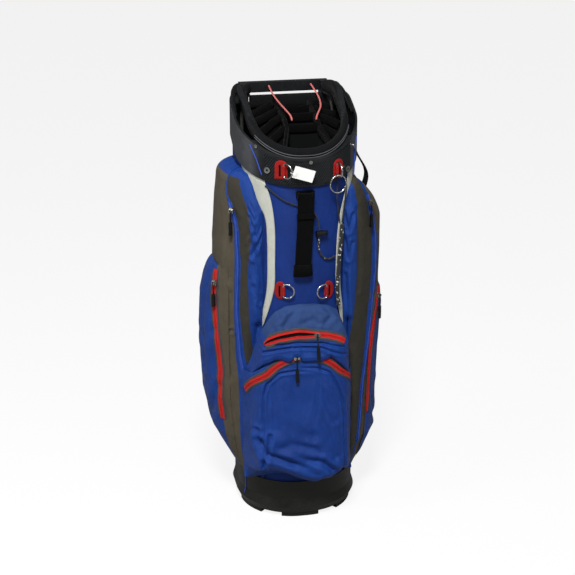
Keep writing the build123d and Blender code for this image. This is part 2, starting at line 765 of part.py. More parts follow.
def purse_form(inset):
    """Domed pocket above the front one, with a face that leans back."""
    with BuildPart() as form:
        with BuildSketch(Plane.XZ):
            with BuildLine():
                half = PURSE_HALF - inset
                dome = ThreePointArc(
                    (POCKET_CENTRE - half, PURSE_BOTTOM + inset),
                    (POCKET_CENTRE, PURSE_TOP - inset),
                    (POCKET_CENTRE + half, PURSE_BOTTOM + inset),
                )
                Line(dome @ 1, dome @ 0)
            make_face()
        extrude(amount=BODY_WIDTH)
        with BuildSketch(Plane.YZ):
            with BuildLine():
                Polyline(
                    (POCKET_BACK, 0),
                    (PURSE_FACE_LOW[0], 0),
                    PURSE_FACE_LOW,
                    PURSE_FACE_HIGH,
                    (POCKET_BACK, APPAREL_TOP),
                    close=True,
                )
            make_face()
            offset(amount=-inset)
        extrude(amount=BODY_WIDTH, both=True, mode=Mode.INTERSECT)
    return form.part


pocket("valuables_pocket", purse_form(0), purse_form(POCKET_WALL), *tall_clearances.values())


# Zips: every tape lies on a flat facet, whose plane has y upwards and z outwards
def face_plane(low, high):
    """Plane on a front face that is given by two points seen from the side."""
    lean = math.atan2(high[0] - low[0], high[1] - low[1])
    return Plane(
        (POCKET_CENTRE, low[0] - low[1] * math.tan(lean), 0),
        x_dir=(1, 0, 0),
        z_dir=(0, -math.cos(lean), math.sin(lean)),
    )


def facet_plane(start, end):
    """Upright plane on a side facet that is given by two points seen from above."""
    run = Vector(*end) - Vector(*start)
    normal = Vector(abs(run.Y) * math.copysign(1, end[0]), -abs(run.X)).normalized()
    middle = (Vector(*start) + Vector(*end)) / 2
    return Plane(middle, x_dir=(-normal.Y, normal.X, 0), z_dir=normal)


def arc_point(centre, radius, angle):
    """Point on a zip's arc, in its facet's coordinates."""
    turn = math.radians(angle)
    return (centre[0] + radius * math.cos(turn), centre[1] + radius * math.sin(turn))


def arc_tape(plane, centre, radius, start, end):
    """Tape that lies along an arc of the facet."""
    with BuildSketch(plane) as strip:
        with BuildLine():
            outer = CenterArc(centre, radius + TAPE_HALF, start, end - start)
            inner = CenterArc(centre, radius - TAPE_HALF, start, end - start)
            Line(outer @ 0, inner @ 0)
            Line(outer @ 1, inner @ 1)
        make_face()
    extrude(strip.sketch, amount=TAPE_THICK)


PIN_LIFT = TAPE_THICK + FIT + SLIDER_HIGH + EYE_RADIUS + FIT


def slider_and_pull(name, plane, spot, along):
    """Zip slider with its ears and pin, and the pull that hangs from the pin."""
    x, y = spot
    bottom = TAPE_THICK + FIT
    with BuildPart() as slider:
        with BuildSketch(plane.offset(bottom)):
            with Locations(Location((x, y, 0), (0, 0, along))):
                RectangleRounded(SLIDER_LONG, SLIDER_WIDE, SLIDER_WIDE / 4)
        extrude(amount=SLIDER_HIGH)
        with BuildSketch(plane.offset(bottom)):
            for side in SIDES.values():
                with Locations((x + side * (EAR_GAP + EAR_THICK) / 2, y)):
                    Rectangle(EAR_THICK, EAR_LONG)
        extrude(amount=PIN_LIFT + EYE_RADIUS - bottom)
        pin_start = point_on(plane, x - EAR_GAP / 2 - EAR_THICK, y, PIN_LIFT)
        with BuildSketch(Plane(pin_start, x_dir=plane.y_dir, z_dir=plane.x_dir)):
            Circle(PIN_RADIUS)
        extrude(amount=EAR_GAP + 2 * EAR_THICK)
    PIECES[name + "_slider"] = slider.part
    eye_wide = EAR_GAP - 2 * FIT
    with BuildPart() as pull:
        eye_start = point_on(plane, x - eye_wide / 2, y, PIN_LIFT)
        with BuildSketch(Plane(eye_start, x_dir=plane.y_dir, z_dir=plane.x_dir)):
            Circle(EYE_RADIUS)
        extrude(amount=eye_wide)
        cord_start = point_on(plane, x, y - PIN_RADIUS - PIN_FIT, PIN_LIFT)
        with BuildSketch(Plane(cord_start, x_dir=plane.x_dir, z_dir=-plane.y_dir)):
            Circle(PULL_CORD)
        extrude(amount=PULL_DROP)
        with BuildSketch(plane.offset(PIN_LIFT - TAB_DEEP / 2)):
            with Locations((x, y - PULL_DROP - TAB_LONG / 2)):
                RectangleRounded(TAB_WIDE, TAB_LONG, TAB_WIDE / 3)
        extrude(amount=TAB_DEEP)
        with BuildSketch(Plane(eye_start, x_dir=plane.y_dir, z_dir=plane.x_dir)):
            Circle(PIN_RADIUS + PIN_FIT)
        extrude(amount=eye_wide, mode=Mode.SUBTRACT)
    PIECES[name + "_pull"] = pull.part
    print(name, "pin", point_on(plane, x, y, PIN_LIFT), "axis", -plane.x_dir)


ARC_ZIPS = {
    "ball": (
        face_plane(BALL_FACE_LOW, BALL_FACE_HIGH),
        BALL_ZIP_RADIUS,
        BALL_ZIP_APEX,
        BALL_ZIP_HALF,
        BALL_SLIDER_AT,
    ),
    "valuables": (
        face_plane(PURSE_FACE_LOW, PURSE_FACE_HIGH),
        PURSE_ZIP_RADIUS,
        PURSE_ZIP_APEX,
        PURSE_ZIP_HALF,
        PURSE_SLIDER_AT,
    ),
}
for name, (face, radius, apex, half, rest) in ARC_ZIPS.items():
    lean_long = 1 / face.y_dir.Z
    hub = (0, apex * lean_long - radius)
    with BuildPart() as tape:
        arc_tape(face, hub, radius, 90 - half, 90 + half)
    PIECES[name + "_zip"] = tape.part
    slider_and_pull(name, face, arc_point(hub, radius, rest), rest - 90)
    print(name, "zip centre", point_on(face, *hub), "axis", face.z_dir)

apparel_faces = {}
accessory_faces = {}
for side_name, side in SIDES.items():
    apparel_faces[side_name] = facet_plane(
        (side * FACET_IN[0], FACET_IN[1]),
        (side * FACET_OUT[0], FACET_OUT[1]),
    )
    accessory_faces[side_name] = facet_plane(
        (side * ACCESSORY_FACET_IN[0], ACCESSORY_FACET_IN[1]),
        (side * (ACCESSORY_REACH[side_name] - ACCESSORY_FACET_SET), ACCESSORY_FACET_BACK),
    )

with BuildPart() as apparel_zips:
    for side_name, side in SIDES.items():
        with BuildSketch(apparel_faces[side_name]):
            with Locations((side * APPAREL_ZIP_SET, (APPAREL_ZIP_LOW + APPAREL_ZIP_HIGH) / 2)):
                Rectangle(2 * TAPE_HALF, APPAREL_ZIP_HIGH - APPAREL_ZIP_LOW)
        extrude(amount=TAPE_THICK)
PIECES["apparel_zips"] = apparel_zips.part

with BuildPart() as accessory_zips:
    for side_name, side in SIDES.items():
        hub = (side * (ACCESSORY_ZIP_RADIUS - ACCESSORY_ZIP_BOW), ACCESSORY_ZIP_MIDDLE[side_name])
        if side > 0:
            ends = (180 - ACCESSORY_ZIP_RISE, 180 + ACCESSORY_ZIP_DROP[side_name])
        else:
            ends = (-ACCESSORY_ZIP_DROP[side_name], ACCESSORY_ZIP_RISE)
        arc_tape(accessory_faces[side_name], hub, ACCESSORY_ZIP_RADIUS, *ends)
PIECES["accessory_zips"] = accessory_zips.part

for side_name, side in SIDES.items():
    spot = (side * APPAREL_ZIP_SET, APPAREL_SLIDER_HEIGHT)
    slider_and_pull(side_name + "_apparel", apparel_faces[side_name], spot, 90)
    hub = (side * (ACCESSORY_ZIP_RADIUS - ACCESSORY_ZIP_BOW), ACCESSORY_ZIP_MIDDLE[side_name])
    rest = 180 - ACCESSORY_SLIDER_AT if side > 0 else ACCESSORY_SLIDER_AT
    spot = arc_point(hub, ACCESSORY_ZIP_RADIUS, rest)
    slider_and_pull(side_name + "_accessory", accessory_faces[side_name], spot, rest + 90)
    face = accessory_faces[side_name]
    print(side_name, "accessory zip centre", point_on(face, *hub), "axis", face.z_dir)

# Red tabs: a plate with a roll that holds the straight bar of a D-ring
ROLL_LIFT = FIT + TAB_PLATE + ROLL_RADIUS - ROLL_SINK
TABS = {
    "upper_left_ring": (UPPER_LEFT, PLATE_OUT, 1, TAG_RING_TURN),
    "upper_right_ring": (UPPER_RIGHT, PLATE_OUT, -1, KEY_RING_TURN),
    "lower_left_ring": (LOWER_LEFT, FIT, 1, 0),
    "lower_right_ring": (LOWER_RIGHT, FIT, -1, 0),
}
with BuildPart() as webbing_tabs:
    for (x, z), grow, inward, swing in TABS.values():
        face = front_plane(x, z, grow)
        with BuildSketch(face.offset(FIT)):
            RectangleRounded(TAB_WIDTH, TAB_HEIGHT, TAB_WIDTH / 3)
        extrude(amount=TAB_PLATE)
        roll_start = point_on(face, inward * ROLL_OUT, -ROLL_LENGTH / 2, ROLL_LIFT)
        with BuildSketch(Plane(roll_start, x_dir=face.x_dir, z_dir=face.y_dir)):
            Circle(ROLL_RADIUS)
        extrude(amount=ROLL_LENGTH)
        with BuildSketch(Plane(roll_start, x_dir=face.x_dir, z_dir=face.y_dir)):
            Circle(RING_WIRE + RING_FIT)
        extrude(amount=ROLL_LENGTH, mode=Mode.SUBTRACT)
PIECES["webbing_tabs"] = webbing_tabs.part


def ring_plane(x, z, grow, inward, swing):
    """Plane of a D-ring, with its bar along y at the origin and its bow towards +x."""
    face = front_plane(x, z, grow)
    turn = math.radians(swing)
    toward = face.x_dir * (inward * math.cos(turn)) + face.z_dir * math.sin(turn)
    hinge = point_on(face, inward * ROLL_OUT, 0, ROLL_LIFT)
    return Plane(hinge, x_dir=toward, z_dir=toward.cross(face.y_dir))


def wire_ring(name, plane):
    """D-ring bent from one round wire."""
    bar_half = RING_RADIUS - RING_CORNER
    with BuildPart() as ring:
        with BuildLine(plane) as path:
            bar = Line((0, -bar_half), (0, bar_half))
            upper_corner = JernArc(bar @ 1, (0, 1), RING_CORNER, -90)
            upper_flat = Line(upper_corner @ 1, (RING_CORNER + RING_FLAT, RING_RADIUS))
            bow = JernArc(upper_flat @ 1, (1, 0), RING_RADIUS, -180)
            lower_flat = Line(bow @ 1, (RING_CORNER, -RING_RADIUS))
            JernArc(lower_flat @ 1, (-1, 0), RING_CORNER, -90)
        with BuildSketch(Plane(path.line @ 0, x_dir=plane.x_dir, z_dir=plane.y_dir)):
            Circle(RING_WIRE)
        sweep(path=path.line)
    PIECES[name] = ring.part


ring_planes = {}
for name, ((x, z), grow, inward, swing) in TABS.items():
    ring_planes[name] = ring_plane(x, z, grow, inward, swing)
    wire_ring(name, ring_planes[name])
    print(name, "hinge", ring_planes[name].origin, "normal", ring_planes[name].z_dir)

# Split ring on the lower flat of the upper right D-ring
hanger = ring_planes["upper_right_ring"]
link = point_on(hanger, RING_CORNER + RING_FLAT / 2, -RING_RADIUS)
key_middle = link + hanger.y_dir * (2 * RING_WIRE + FIT - KEY_RING_RADIUS)
key_side = hanger.x_dir.cross(hanger.y_dir)
with BuildPart() as key_ring:
    with BuildSketch(Plane(key_middle + key_side * KEY_RING_RADIUS, x_dir=key_side, z_dir=hanger.y_dir)):
        Circle(RING_WIRE)
    revolve(axis=Axis(key_middle, hanger.x_dir), revolution_arc=360)
PIECES["key_ring"] = key_ring.part
print("key_ring link", link, "axis", hanger.x_dir)

# Blank tag, tied to the bow of the upper left D-ring by a thin loop
tagged = ring_planes["upper_left_ring"]
bow_end = RING_CORNER + RING_FLAT + RING_RADIUS
tag_angle = math.radians(TAG_TURN)
tag_toward = tagged.x_dir * math.cos(tag_angle) + tagged.z_dir * math.sin(tag_angle)
tie = Plane(point_on(tagged, bow_end, 0), x_dir=tag_toward, z_dir=tag_toward.cross(tagged.y_dir))
loop_middle = point_on(tie, LOOP_SET, 0)
with BuildPart() as tag_loop:
    with BuildSketch(Plane(loop_middle + tie.x_dir * LOOP_RADIUS, x_dir=tie.x_dir, z_dir=tie.z_dir)):
        Circle(LOOP_WIRE)
    revolve(axis=Axis(loop_middle, tie.y_dir), revolution_arc=360)
PIECES["tag_loop"] = tag_loop.part

with BuildPart() as hang_tag:
    with BuildSketch(tie.offset(-TAG_THICK / 2)):
        with Locations(Location((LOOP_SET + LOOP_RADIUS, 0, 0), (0, 0, -TAG_DROP))):
            with Locations((TAG_LONG / 2 - TAG_MARGIN, 0)):
                Rectangle(TAG_LONG, TAG_WIDE)
            Circle(TAG_HOLE, mode=Mode.SUBTRACT)
    extrude(amount=TAG_THICK)
PIECES["hang_tag"] = hang_tag.part
print("hang_tag tie", tie.origin, "axis", tie.y_dir)

# Towel strap: sewn anchor with two ears and a pin, and the webbing that swings on it
strap_face = front_plane(STRAP_X, STRAP_TOP, FIT)
ear_x = STRAP_NECK / 2 + FIT + ANCHOR_EAR / 2
with BuildPart() as strap_anchor:
    with BuildSketch(strap_face):
        RectangleRounded(ANCHOR_WIDE, ANCHOR_TALL, ANCHOR_CORNER)
    extrude(amount=ANCHOR_PLATE)
    with BuildSketch(strap_face):
        with Locations((ear_x, 0), (-ear_x, 0)):
            Rectangle(ANCHOR_EAR, ANCHOR_TALL - 2 * ANCHOR_CORNER)
    extrude(amount=STRAP_STAND + STRAP_EYE)
    pin_start = point_on(strap_face, -ear_x, 0, STRAP_STAND)
    with BuildSketch(Plane(pin_start, x_dir=strap_face.y_dir, z_dir=strap_face.x_dir)):
        Circle(STRAP_PIN)
    extrude(amount=2 * ear_x)
PIECES["strap_anchor"] = strap_anchor.part

eye_plane = Plane(
    point_on(strap_face, -STRAP_NECK / 2, 0, STRAP_STAND), x_dir=strap_face.y_dir, z_dir=strap_face.x_dir
)
webbing_end = STRAP_LONG - SLEEVE_LONG
with BuildPart() as towel_strap:
    with BuildSketch(eye_plane):
        Circle(STRAP_EYE)
    extrude(amount=STRAP_NECK)
    with BuildSketch(strap_face.offset(STRAP_STAND - STRAP_THICK / 2)):
        with Locations((0, -STRAP_NECK_LONG / 2)):
            Rectangle(STRAP_NECK, STRAP_NECK_LONG)
        with Locations((0, -(STRAP_NECK_LONG + webbing_end) / 2)):
            Rectangle(STRAP_WIDE, webbing_end - STRAP_NECK_LONG)
    extrude(amount=STRAP_THICK)
    with BuildSketch(eye_plane):
        Circle(STRAP_PIN + PIN_FIT)
    extrude(amount=STRAP_NECK, mode=Mode.SUBTRACT)
PIECES["towel_strap"] = towel_strap.part

with BuildPart() as strap_sleeve:
    with BuildSketch(strap_face.offset(STRAP_STAND - STRAP_THICK / 2 - SLEEVE_EDGE)):
        with Locations((0, -webbing_end - SLEEVE_LONG / 2)):
            RectangleRounded(STRAP_WIDE + 2 * SLEEVE_EDGE, SLEEVE_LONG, SLEEVE_EDGE)
    extrude(amount=STRAP_THICK + 2 * SLEEVE_EDGE)
PIECES["strap_sleeve"] = strap_sleeve.part
print("towel_strap pin", point_on(strap_face, 0, 0, STRAP_STAND), "axis", -strap_face.x_dir)

# Cord lock: barrel along the front, with a plunger that is pushed into it
lock_face = front_plane(LOCK_X, LOCK_HEIGHT, FIT)
lock_start = point_on(lock_face, -LOCK_LONG / 2, 0, LOCK_STAND)
lock_plane = Plane(lock_start, x_dir=lock_face.y_dir, z_dir=lock_face.x_dir)
bore_depth = LOCK_LONG - LOCK_FLOOR
with BuildPart() as cord_lock_body:
    with BuildSketch(lock_plane):
        Circle(LOCK_RADIUS)
    extrude(amount=LOCK_LONG)
    with BuildSketch(lock_plane.offset(LOCK_LONG - bore_depth)):
        Circle(LOCK_BORE)
    extrude(amount=bore_depth, mode=Mode.SUBTRACT)
PIECES["cord_lock_body"] = cord_lock_body.part

plunger_in = PLUNGER_LONG - PLUNGER_OUT
with BuildPart() as cord_lock_plunger:
    with BuildSketch(lock_plane.offset(LOCK_LONG - plunger_in)):
        Circle(LOCK_BORE - PLUNGER_FIT)
    extrude(amount=PLUNGER_LONG)
    with BuildSketch(lock_plane.offset(LOCK_LONG + PLUNGER_OUT - BUTTON_THICK)):
        Circle(BUTTON_RADIUS)
    extrude(amount=BUTTON_THICK)
PIECES["cord_lock_plunger"] = cord_lock_plunger.part

print("plunger at", point_on(lock_face, LOCK_LONG / 2, 0, LOCK_STAND), "axis", lock_face.x_dir)


def on_front(x, z, lift):
    """Point in front of the sleeve, lifted off it."""
    return tuple(front_plane(x, z, lift).origin)


# Cords on the front: the points are chosen along their photographed lines
cord_stop = LOCK_RADIUS + FIT
cord(
    "drawcord",
    DRAWCORD,
    [
        *[
            on_front(x, z, CORD_LIFT)
            for x, z in ((-82, 768), (-67, 755), (-52, 743), (-34, 733), (-14, 727), (4, 722), (18, 711))
        ],
        on_front(26, 695, (CORD_LIFT + LOCK_STAND) / 2),
        on_front(LOCK_X, LOCK_HEIGHT + cord_stop, LOCK_STAND),
    ],
)
cord(
    "drawcord_tail",
    TAIL_CORD,
    [
        on_front(LOCK_X, LOCK_HEIGHT - cord_stop, LOCK_STAND),
        on_front(26, 643, (CORD_LIFT + LOCK_STAND) / 2),
        *[on_front(x, z, CORD_LIFT) for x, z in ((28, 626), (37, 611), (51, 604), (64, 608))],
    ],
)
cord(
    "lanyard_strands",
    STRAND_CORD,
    [on_front(x, z, CORD_LIFT) for x, z in ((92, 772), (92, 742), (87, 712), (82, 680))],
    [on_front(x, z, CORD_LIFT) for x, z in ((70, 772), (68, 742), (71, 712), (76, 680))],
)
cord(
    "lanyard_rope",
    ROPE,
    [
        on_front(x, z, CORD_LIFT + (ROPE - STRAND_CORD) / 2)
        for x, z in ((81, 676), (79, 640), (75, 604), (73, 568), (70, 532), (75, 497))
    ],
)
cord(
    "red_cords",
    RED_CORD,
    [
        (-33, 124, 925),
        (-32, 106, 919),
        (-29, 82, 911),
        (-24, 52, 904),
        (-18, 24, 898),
        (-12, 0, 892),
        (-9, -13, 887),
        (-9, -19, 881),
    ],
    [
        (60, 124, 925),
        (63, 106, 919),
        (66, 82, 912),
        (66, 52, 905),
        (62, 24, 899),
        (52, 0, 893),
        (45, -13, 887),
        (43, -19, 881),
    ],
)

# Shoulder strap: a padded band behind the right pocket, hung on webbing from the collar and the base
def ribbon(points, thick, wide, bend):
    """Flat band along a bent line seen from the front, wide across the bag's depth."""
    rear = STRAP_BAND_Y + (STRAP_BAND_WIDE + wide) / 2
    with BuildSketch(Plane.XZ.offset(-rear)) as band:
        with BuildLine():
            FilletPolyline(*points, radius=bend)
        trace(line_width=thick)
    extrude(band.sketch, amount=wide)


with BuildPart() as shoulder_strap:
    ribbon(STRAP_PAD_LINE, STRAP_PAD_THICK, STRAP_BAND_WIDE, STRAP_PAD_BEND)
PIECES["shoulder_strap"] = shoulder_strap.part

with BuildPart() as shoulder_strap_web:
    ribbon(STRAP_UPPER_LINE, STRAP_WEB_THICK, STRAP_WEB_WIDE, STRAP_WEB_BEND)
    ribbon(STRAP_LOWER_LINE, STRAP_WEB_THICK, STRAP_WEB_WIDE, STRAP_WEB_BEND)
    with BuildSketch():
        add(plan(FIT))
    extrude(amount=COLLAR_BOTTOM, mode=Mode.SUBTRACT)
    with BuildSketch(Plane.XY.offset(COLLAR_BOTTOM)):
        add(plan(COLLAR_OUT + FIT))
    extrude(amount=TRIM_TOP - COLLAR_BOTTOM, mode=Mode.SUBTRACT)
PIECES["shoulder_strap_web"] = shoulder_strap_web.part

slide_middle = (Vector(*STRAP_UPPER_LINE[1]) + Vector(*STRAP_UPPER_LINE[2])) / 2
slide_run = Vector(*STRAP_UPPER_LINE[2]) - Vector(*STRAP_UPPER_LINE[1])
slide_plane = Plane(
    (slide_middle.X, STRAP_BAND_Y + STRAP_BAND_WIDE / 2, slide_middle.Y),
    x_dir=(0, 1, 0),
    z_dir=(slide_run.X, 0, slide_run.Y),
)
with BuildPart() as strap_slide:
    with BuildSketch(slide_plane.offset(-SLIDE_HIGH / 2)):
        RectangleRounded(SLIDE_WIDE, SLIDE_THICK, SLIDE_THICK / 4)
        Rectangle(STRAP_WEB_WIDE + 2 * FIT, STRAP_WEB_THICK + 2 * FIT, mode=Mode.SUBTRACT)
    extrude(amount=SLIDE_HIGH)
PIECES["strap_slide"] = strap_slide.part

os.makedirs("parts", exist_ok=True)
for name, piece in PIECES.items():
    piece.label = name
    export_step(piece, f"parts/{name}.step")
print(len(PIECES), "pieces")
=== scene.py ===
"""Looks of a free-standing golf cart bag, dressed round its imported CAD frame. Lengths are in millimetres."""

import logging
import math
from dataclasses import astuple, dataclass, field
from enum import Enum
from typing import Callable, Sequence

import bpy
import numpy as np
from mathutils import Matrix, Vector, noise
from mathutils.bvhtree import BVHTree


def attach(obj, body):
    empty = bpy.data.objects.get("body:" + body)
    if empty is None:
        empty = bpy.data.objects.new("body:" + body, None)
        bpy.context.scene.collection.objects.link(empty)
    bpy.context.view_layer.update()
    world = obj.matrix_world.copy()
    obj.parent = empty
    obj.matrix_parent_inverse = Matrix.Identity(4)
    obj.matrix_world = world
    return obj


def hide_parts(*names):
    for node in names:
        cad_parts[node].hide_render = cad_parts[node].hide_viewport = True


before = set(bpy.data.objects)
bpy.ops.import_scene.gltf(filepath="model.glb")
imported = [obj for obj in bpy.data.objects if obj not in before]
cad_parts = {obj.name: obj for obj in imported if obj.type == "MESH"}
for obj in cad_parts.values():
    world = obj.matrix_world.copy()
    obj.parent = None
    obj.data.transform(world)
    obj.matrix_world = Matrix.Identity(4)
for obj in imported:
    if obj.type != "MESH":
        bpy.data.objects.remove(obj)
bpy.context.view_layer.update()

log = logging.getLogger("golf_bag")

MM = 0.001
ROOT = "bag"
UPWARD = (0, 0, 1)
FORWARD = (0, -1, 0)
RIGHTWARD = (1, 0, 0)
Point = Sequence[float]
Socket = bpy.types.NodeSocket
Piece = bpy.types.Object


class Side(Enum):
    """Left and right of the bag, as seen from the front."""

    LEFT = -1
    RIGHT = 1

    @property
    def word(self) -> str:
        """The side's name, as the nodes spell it."""
        return self.name.lower()


# Colours and shader groups


def tint(code: str) -> tuple[float, float, float, float]:
    """Linear colour of a hex code.

    Args:
        code: six hex digits, display colour.

    Returns:
        The colour as Blender's sockets take it.
    """
    channels = [int(code[i : i + 2], 16) / 255 for i in (0, 2, 4)]
    linear = [c / 12.92 if c <= 0.04045 else ((c + 0.055) / 1.055) ** 2.4 for c in channels]
    return (*linear, 1.0)


class Graph:
    """A node tree that is being wired."""

    def __init__(self, tree: bpy.types.NodeTree) -> None:
        """Start from an empty tree."""
        self.tree = tree
        tree.nodes.clear()

    def add(self, kind: str, inputs: dict | None = None, **settings) -> bpy.types.Node:
        """Add a node.

        Args:
            kind: the node's Blender type.
            inputs: socket names or numbers with a value or an output socket.
            settings: properties of the node.

        Returns:
            The new node.
        """
        node = self.tree.nodes.new(kind)
        for key, value in settings.items():
            setattr(node, key, value)
        for key, value in (inputs or {}).items():
            if isinstance(value, Socket):
                self.tree.links.new(value, node.inputs[key])
            else:
                node.inputs[key].default_value = value
        return node

    def math(self, operation: str, *values) -> Socket:
        """Result of a Math node on one, two or three values."""
        node = self.add("ShaderNodeMath", dict(enumerate(values)), operation=operation)
        return node.outputs[0]

    def spot(self) -> Socket:
        """Object coordinates, which are the bag's frame in metres."""
        return self.add("ShaderNodeTexCoord").outputs["Object"]


def new_group(name: str, inputs: dict[str, float], outputs: Sequence[str]) -> Graph:
    """Start a shader group with number sockets.

    Args:
        name: the group's name.
        inputs: input names with their default values.
        outputs: output names.

    Returns:
        The group's tree, holding its input and output nodes.
    """
    tree = bpy.data.node_groups.new(name, "ShaderNodeTree")
    for key, value in inputs.items():
        socket = tree.interface.new_socket(key, in_out="INPUT", socket_type="NodeSocketFloat")
        socket.default_value = value
    for key in outputs:
        tree.interface.new_socket(key, in_out="OUTPUT", socket_type="NodeSocketFloat")
    return Graph(tree)


def weave_group() -> bpy.types.NodeTree:
    """Plain weave: crossing threads as a height and a shade."""
    g = new_group("weave", {"Threads": 900.0}, ("Height", "Shade"))
    given = g.add("NodeGroupInput").outputs
    axes = g.add("ShaderNodeSeparateXYZ", {0: g.spot()}).outputs
    along = g.math("SUBTRACT", axes[0], axes[1])
    pitch = g.math("MULTIPLY", given["Threads"], 2 * math.pi)
    weft = g.math("SINE", g.math("MULTIPLY", along, pitch))
    warp = g.math("SINE", g.math("MULTIPLY", axes[2], pitch))
    height = g.math("MULTIPLY_ADD", g.math("MULTIPLY", weft, warp), 0.5, 0.5)
    slub = g.add("ShaderNodeTexNoise", {"Vector": g.spot(), "Scale": 220.0, "Detail": 3.0}).outputs["Fac"]
    shade = g.math("MULTIPLY_ADD", slub, 0.6, g.math("MULTIPLY", height, 0.4))
    g.add("NodeGroupOutput", {"Height": height, "Shade": shade})
    return g.tree


def mottle_group() -> bpy.types.NodeTree:
    """Broad and fine unevenness of a dyed or handled surface."""
    g = new_group("mottle", {"Scale": 12.0}, ("Mask",))
    given = g.add("NodeGroupInput").outputs
    broad = g.add(
        "ShaderNodeTexNoise",
        {"Vector": g.spot(), "Scale": given["Scale"], "Detail": 5.0, "Roughness": 0.65},
    )
    fine_scale = g.math("MULTIPLY", given["Scale"], 9.0)
    fine = g.add("ShaderNodeTexNoise", {"Vector": g.spot(), "Scale": fine_scale, "Detail": 2.0})
    mixed = g.math("MULTIPLY_ADD", fine.outputs["Fac"], 0.3, g.math("MULTIPLY", broad.outputs["Fac"], 0.7))
    mask = g.add("ShaderNodeMapRange", {0: mixed, 1: 0.33, 2: 0.67}).outputs[0]
    g.add("NodeGroupOutput", {"Mask": mask})
    return g.tree


def rumple_group() -> bpy.types.NodeTree:
    """Soft creases of slack cloth, stretched up and down."""
    g = new_group("rumple", {"Scale": 14.0, "Stretch": 0.4}, ("Height",))
    given = g.add("NodeGroupInput").outputs
    axes = g.add("ShaderNodeSeparateXYZ", {0: g.spot()}).outputs
    tall = g.math("MULTIPLY", axes[2], given["Stretch"])
    stretched = g.add("ShaderNodeCombineXYZ", {0: axes[0], 1: axes[1], 2: tall}).outputs[0]
    folds = g.add(
        "ShaderNodeTexNoise",
        {"Vector": stretched, "Scale": given["Scale"], "Detail": 3.0, "Roughness": 0.45, "Distortion": 0.9},
    )
    ridge = g.math("ABSOLUTE", g.math("SUBTRACT", folds.outputs["Fac"], 0.5))
    height = g.math("SUBTRACT", 1.0, g.math("MULTIPLY", ridge, 3.0))
    g.add("NodeGroupOutput", {"Height": height})
    return g.tree


def grain_group() -> bpy.types.NodeTree:
    """Fine pebbling of moulded plastic."""
    g = new_group("grain", {"Scale": 700.0}, ("Height",))
    given = g.add("NodeGroupInput").outputs
    cells = g.add("ShaderNodeTexVoronoi", {"Vector": g.spot(), "Scale": given["Scale"]}, feature="SMOOTH_F1")
    g.add("NodeGroupOutput", {"Height": cells.outputs["Distance"]})
    return g.tree


GROUPS: dict[str, bpy.types.NodeTree] = {}


def place(g: Graph, name: str, **inputs) -> bpy.types.Node:
    """Place a shared group in a material."""
    node = g.add("ShaderNodeGroup", node_tree=GROUPS[name])
    for key, value in inputs.items():
        node.inputs[key].default_value = value
    return node


# Finishes


def start_material(name: str) -> tuple[bpy.types.Material, Graph]:
    """New node material with an empty tree."""
    material = bpy.data.materials.new(name)
    material.use_nodes = True
    return material, Graph(material.node_tree)


def close_material(g: Graph, shader: bpy.types.Node) -> None:
    """Wire a shader to the material's output."""
    g.add("ShaderNodeOutputMaterial", {"Surface": shader.outputs[0]})


def close_principled(g: Graph, inputs: dict) -> None:
    """Wire a principled shader with these inputs to the material's output."""
    close_material(g, g.add("ShaderNodeBsdfPrincipled", inputs))


def two_tone(g: Graph, mask: Socket, low: tuple | Socket, high: tuple | Socket) -> Socket:
    """Colour between two tints or colour sockets, by a mask."""
    mix = g.add("ShaderNodeMix", {"Factor": mask, "A": low, "B": high}, data_type="RGBA")
    return mix.outputs["Result"]


def bump(g: Graph, height: Socket, reach: float, under: Socket | None = None) -> Socket:
    """Normal from a height.

    Args:
        g: the material's tree.
        height: the height, from 0 to 1.
        reach: how deep a height of 1 is, in metres.
        under: normal of a broader bump below this one.

    Returns:
        The bumped normal.
    """
    inputs = {"Height": height, "Distance": reach, "Strength": 1.0}
    if under is not None:
        inputs["Normal"] = under
    return g.add("ShaderNodeBump", inputs).outputs["Normal"]


@dataclass(frozen=True)
class Cloth:
    """Woven cloth, with thread, dye and slack."""

    name: str
    light: str
    dark: str
    threads: float = 900.0
    thread_depth: float = 0.00025
    rumple: float = 0.0016
    rumple_scale: float = 16.0
    stretch: float = 0.4
    rough: float = 0.62
    sheen: float = 0.03
    gloss: float = 0.22

    def material(self) -> bpy.types.Material:
        """Build the cloth's material."""
        material, g = start_material(self.name)
        weave = place(g, "weave", Threads=self.threads)
        dye = place(g, "mottle", Scale=11.0)
        shade = g.math("MULTIPLY_ADD", weave.outputs["Shade"], 0.45, g.math("MULTIPLY", dye.outputs["Mask"], 0.55))
        colour = two_tone(g, shade, tint(self.dark), tint(self.light))
        rough = g.math("MULTIPLY_ADD", dye.outputs["Mask"], 0.14, self.rough - 0.07)
        folds = place(g, "rumple", Scale=self.rumple_scale, Stretch=self.stretch)
        normal = bump(g, folds.outputs["Height"], self.rumple)
        normal = bump(g, weave.outputs["Height"], self.thread_depth, normal)
        looks = {"Base Color": colour, "Roughness": rough, "Normal": normal, "Specular IOR Level": self.gloss}
        close_principled(g, {**looks, "Sheen Weight": self.sheen, "Sheen Roughness": 0.4})
        return material


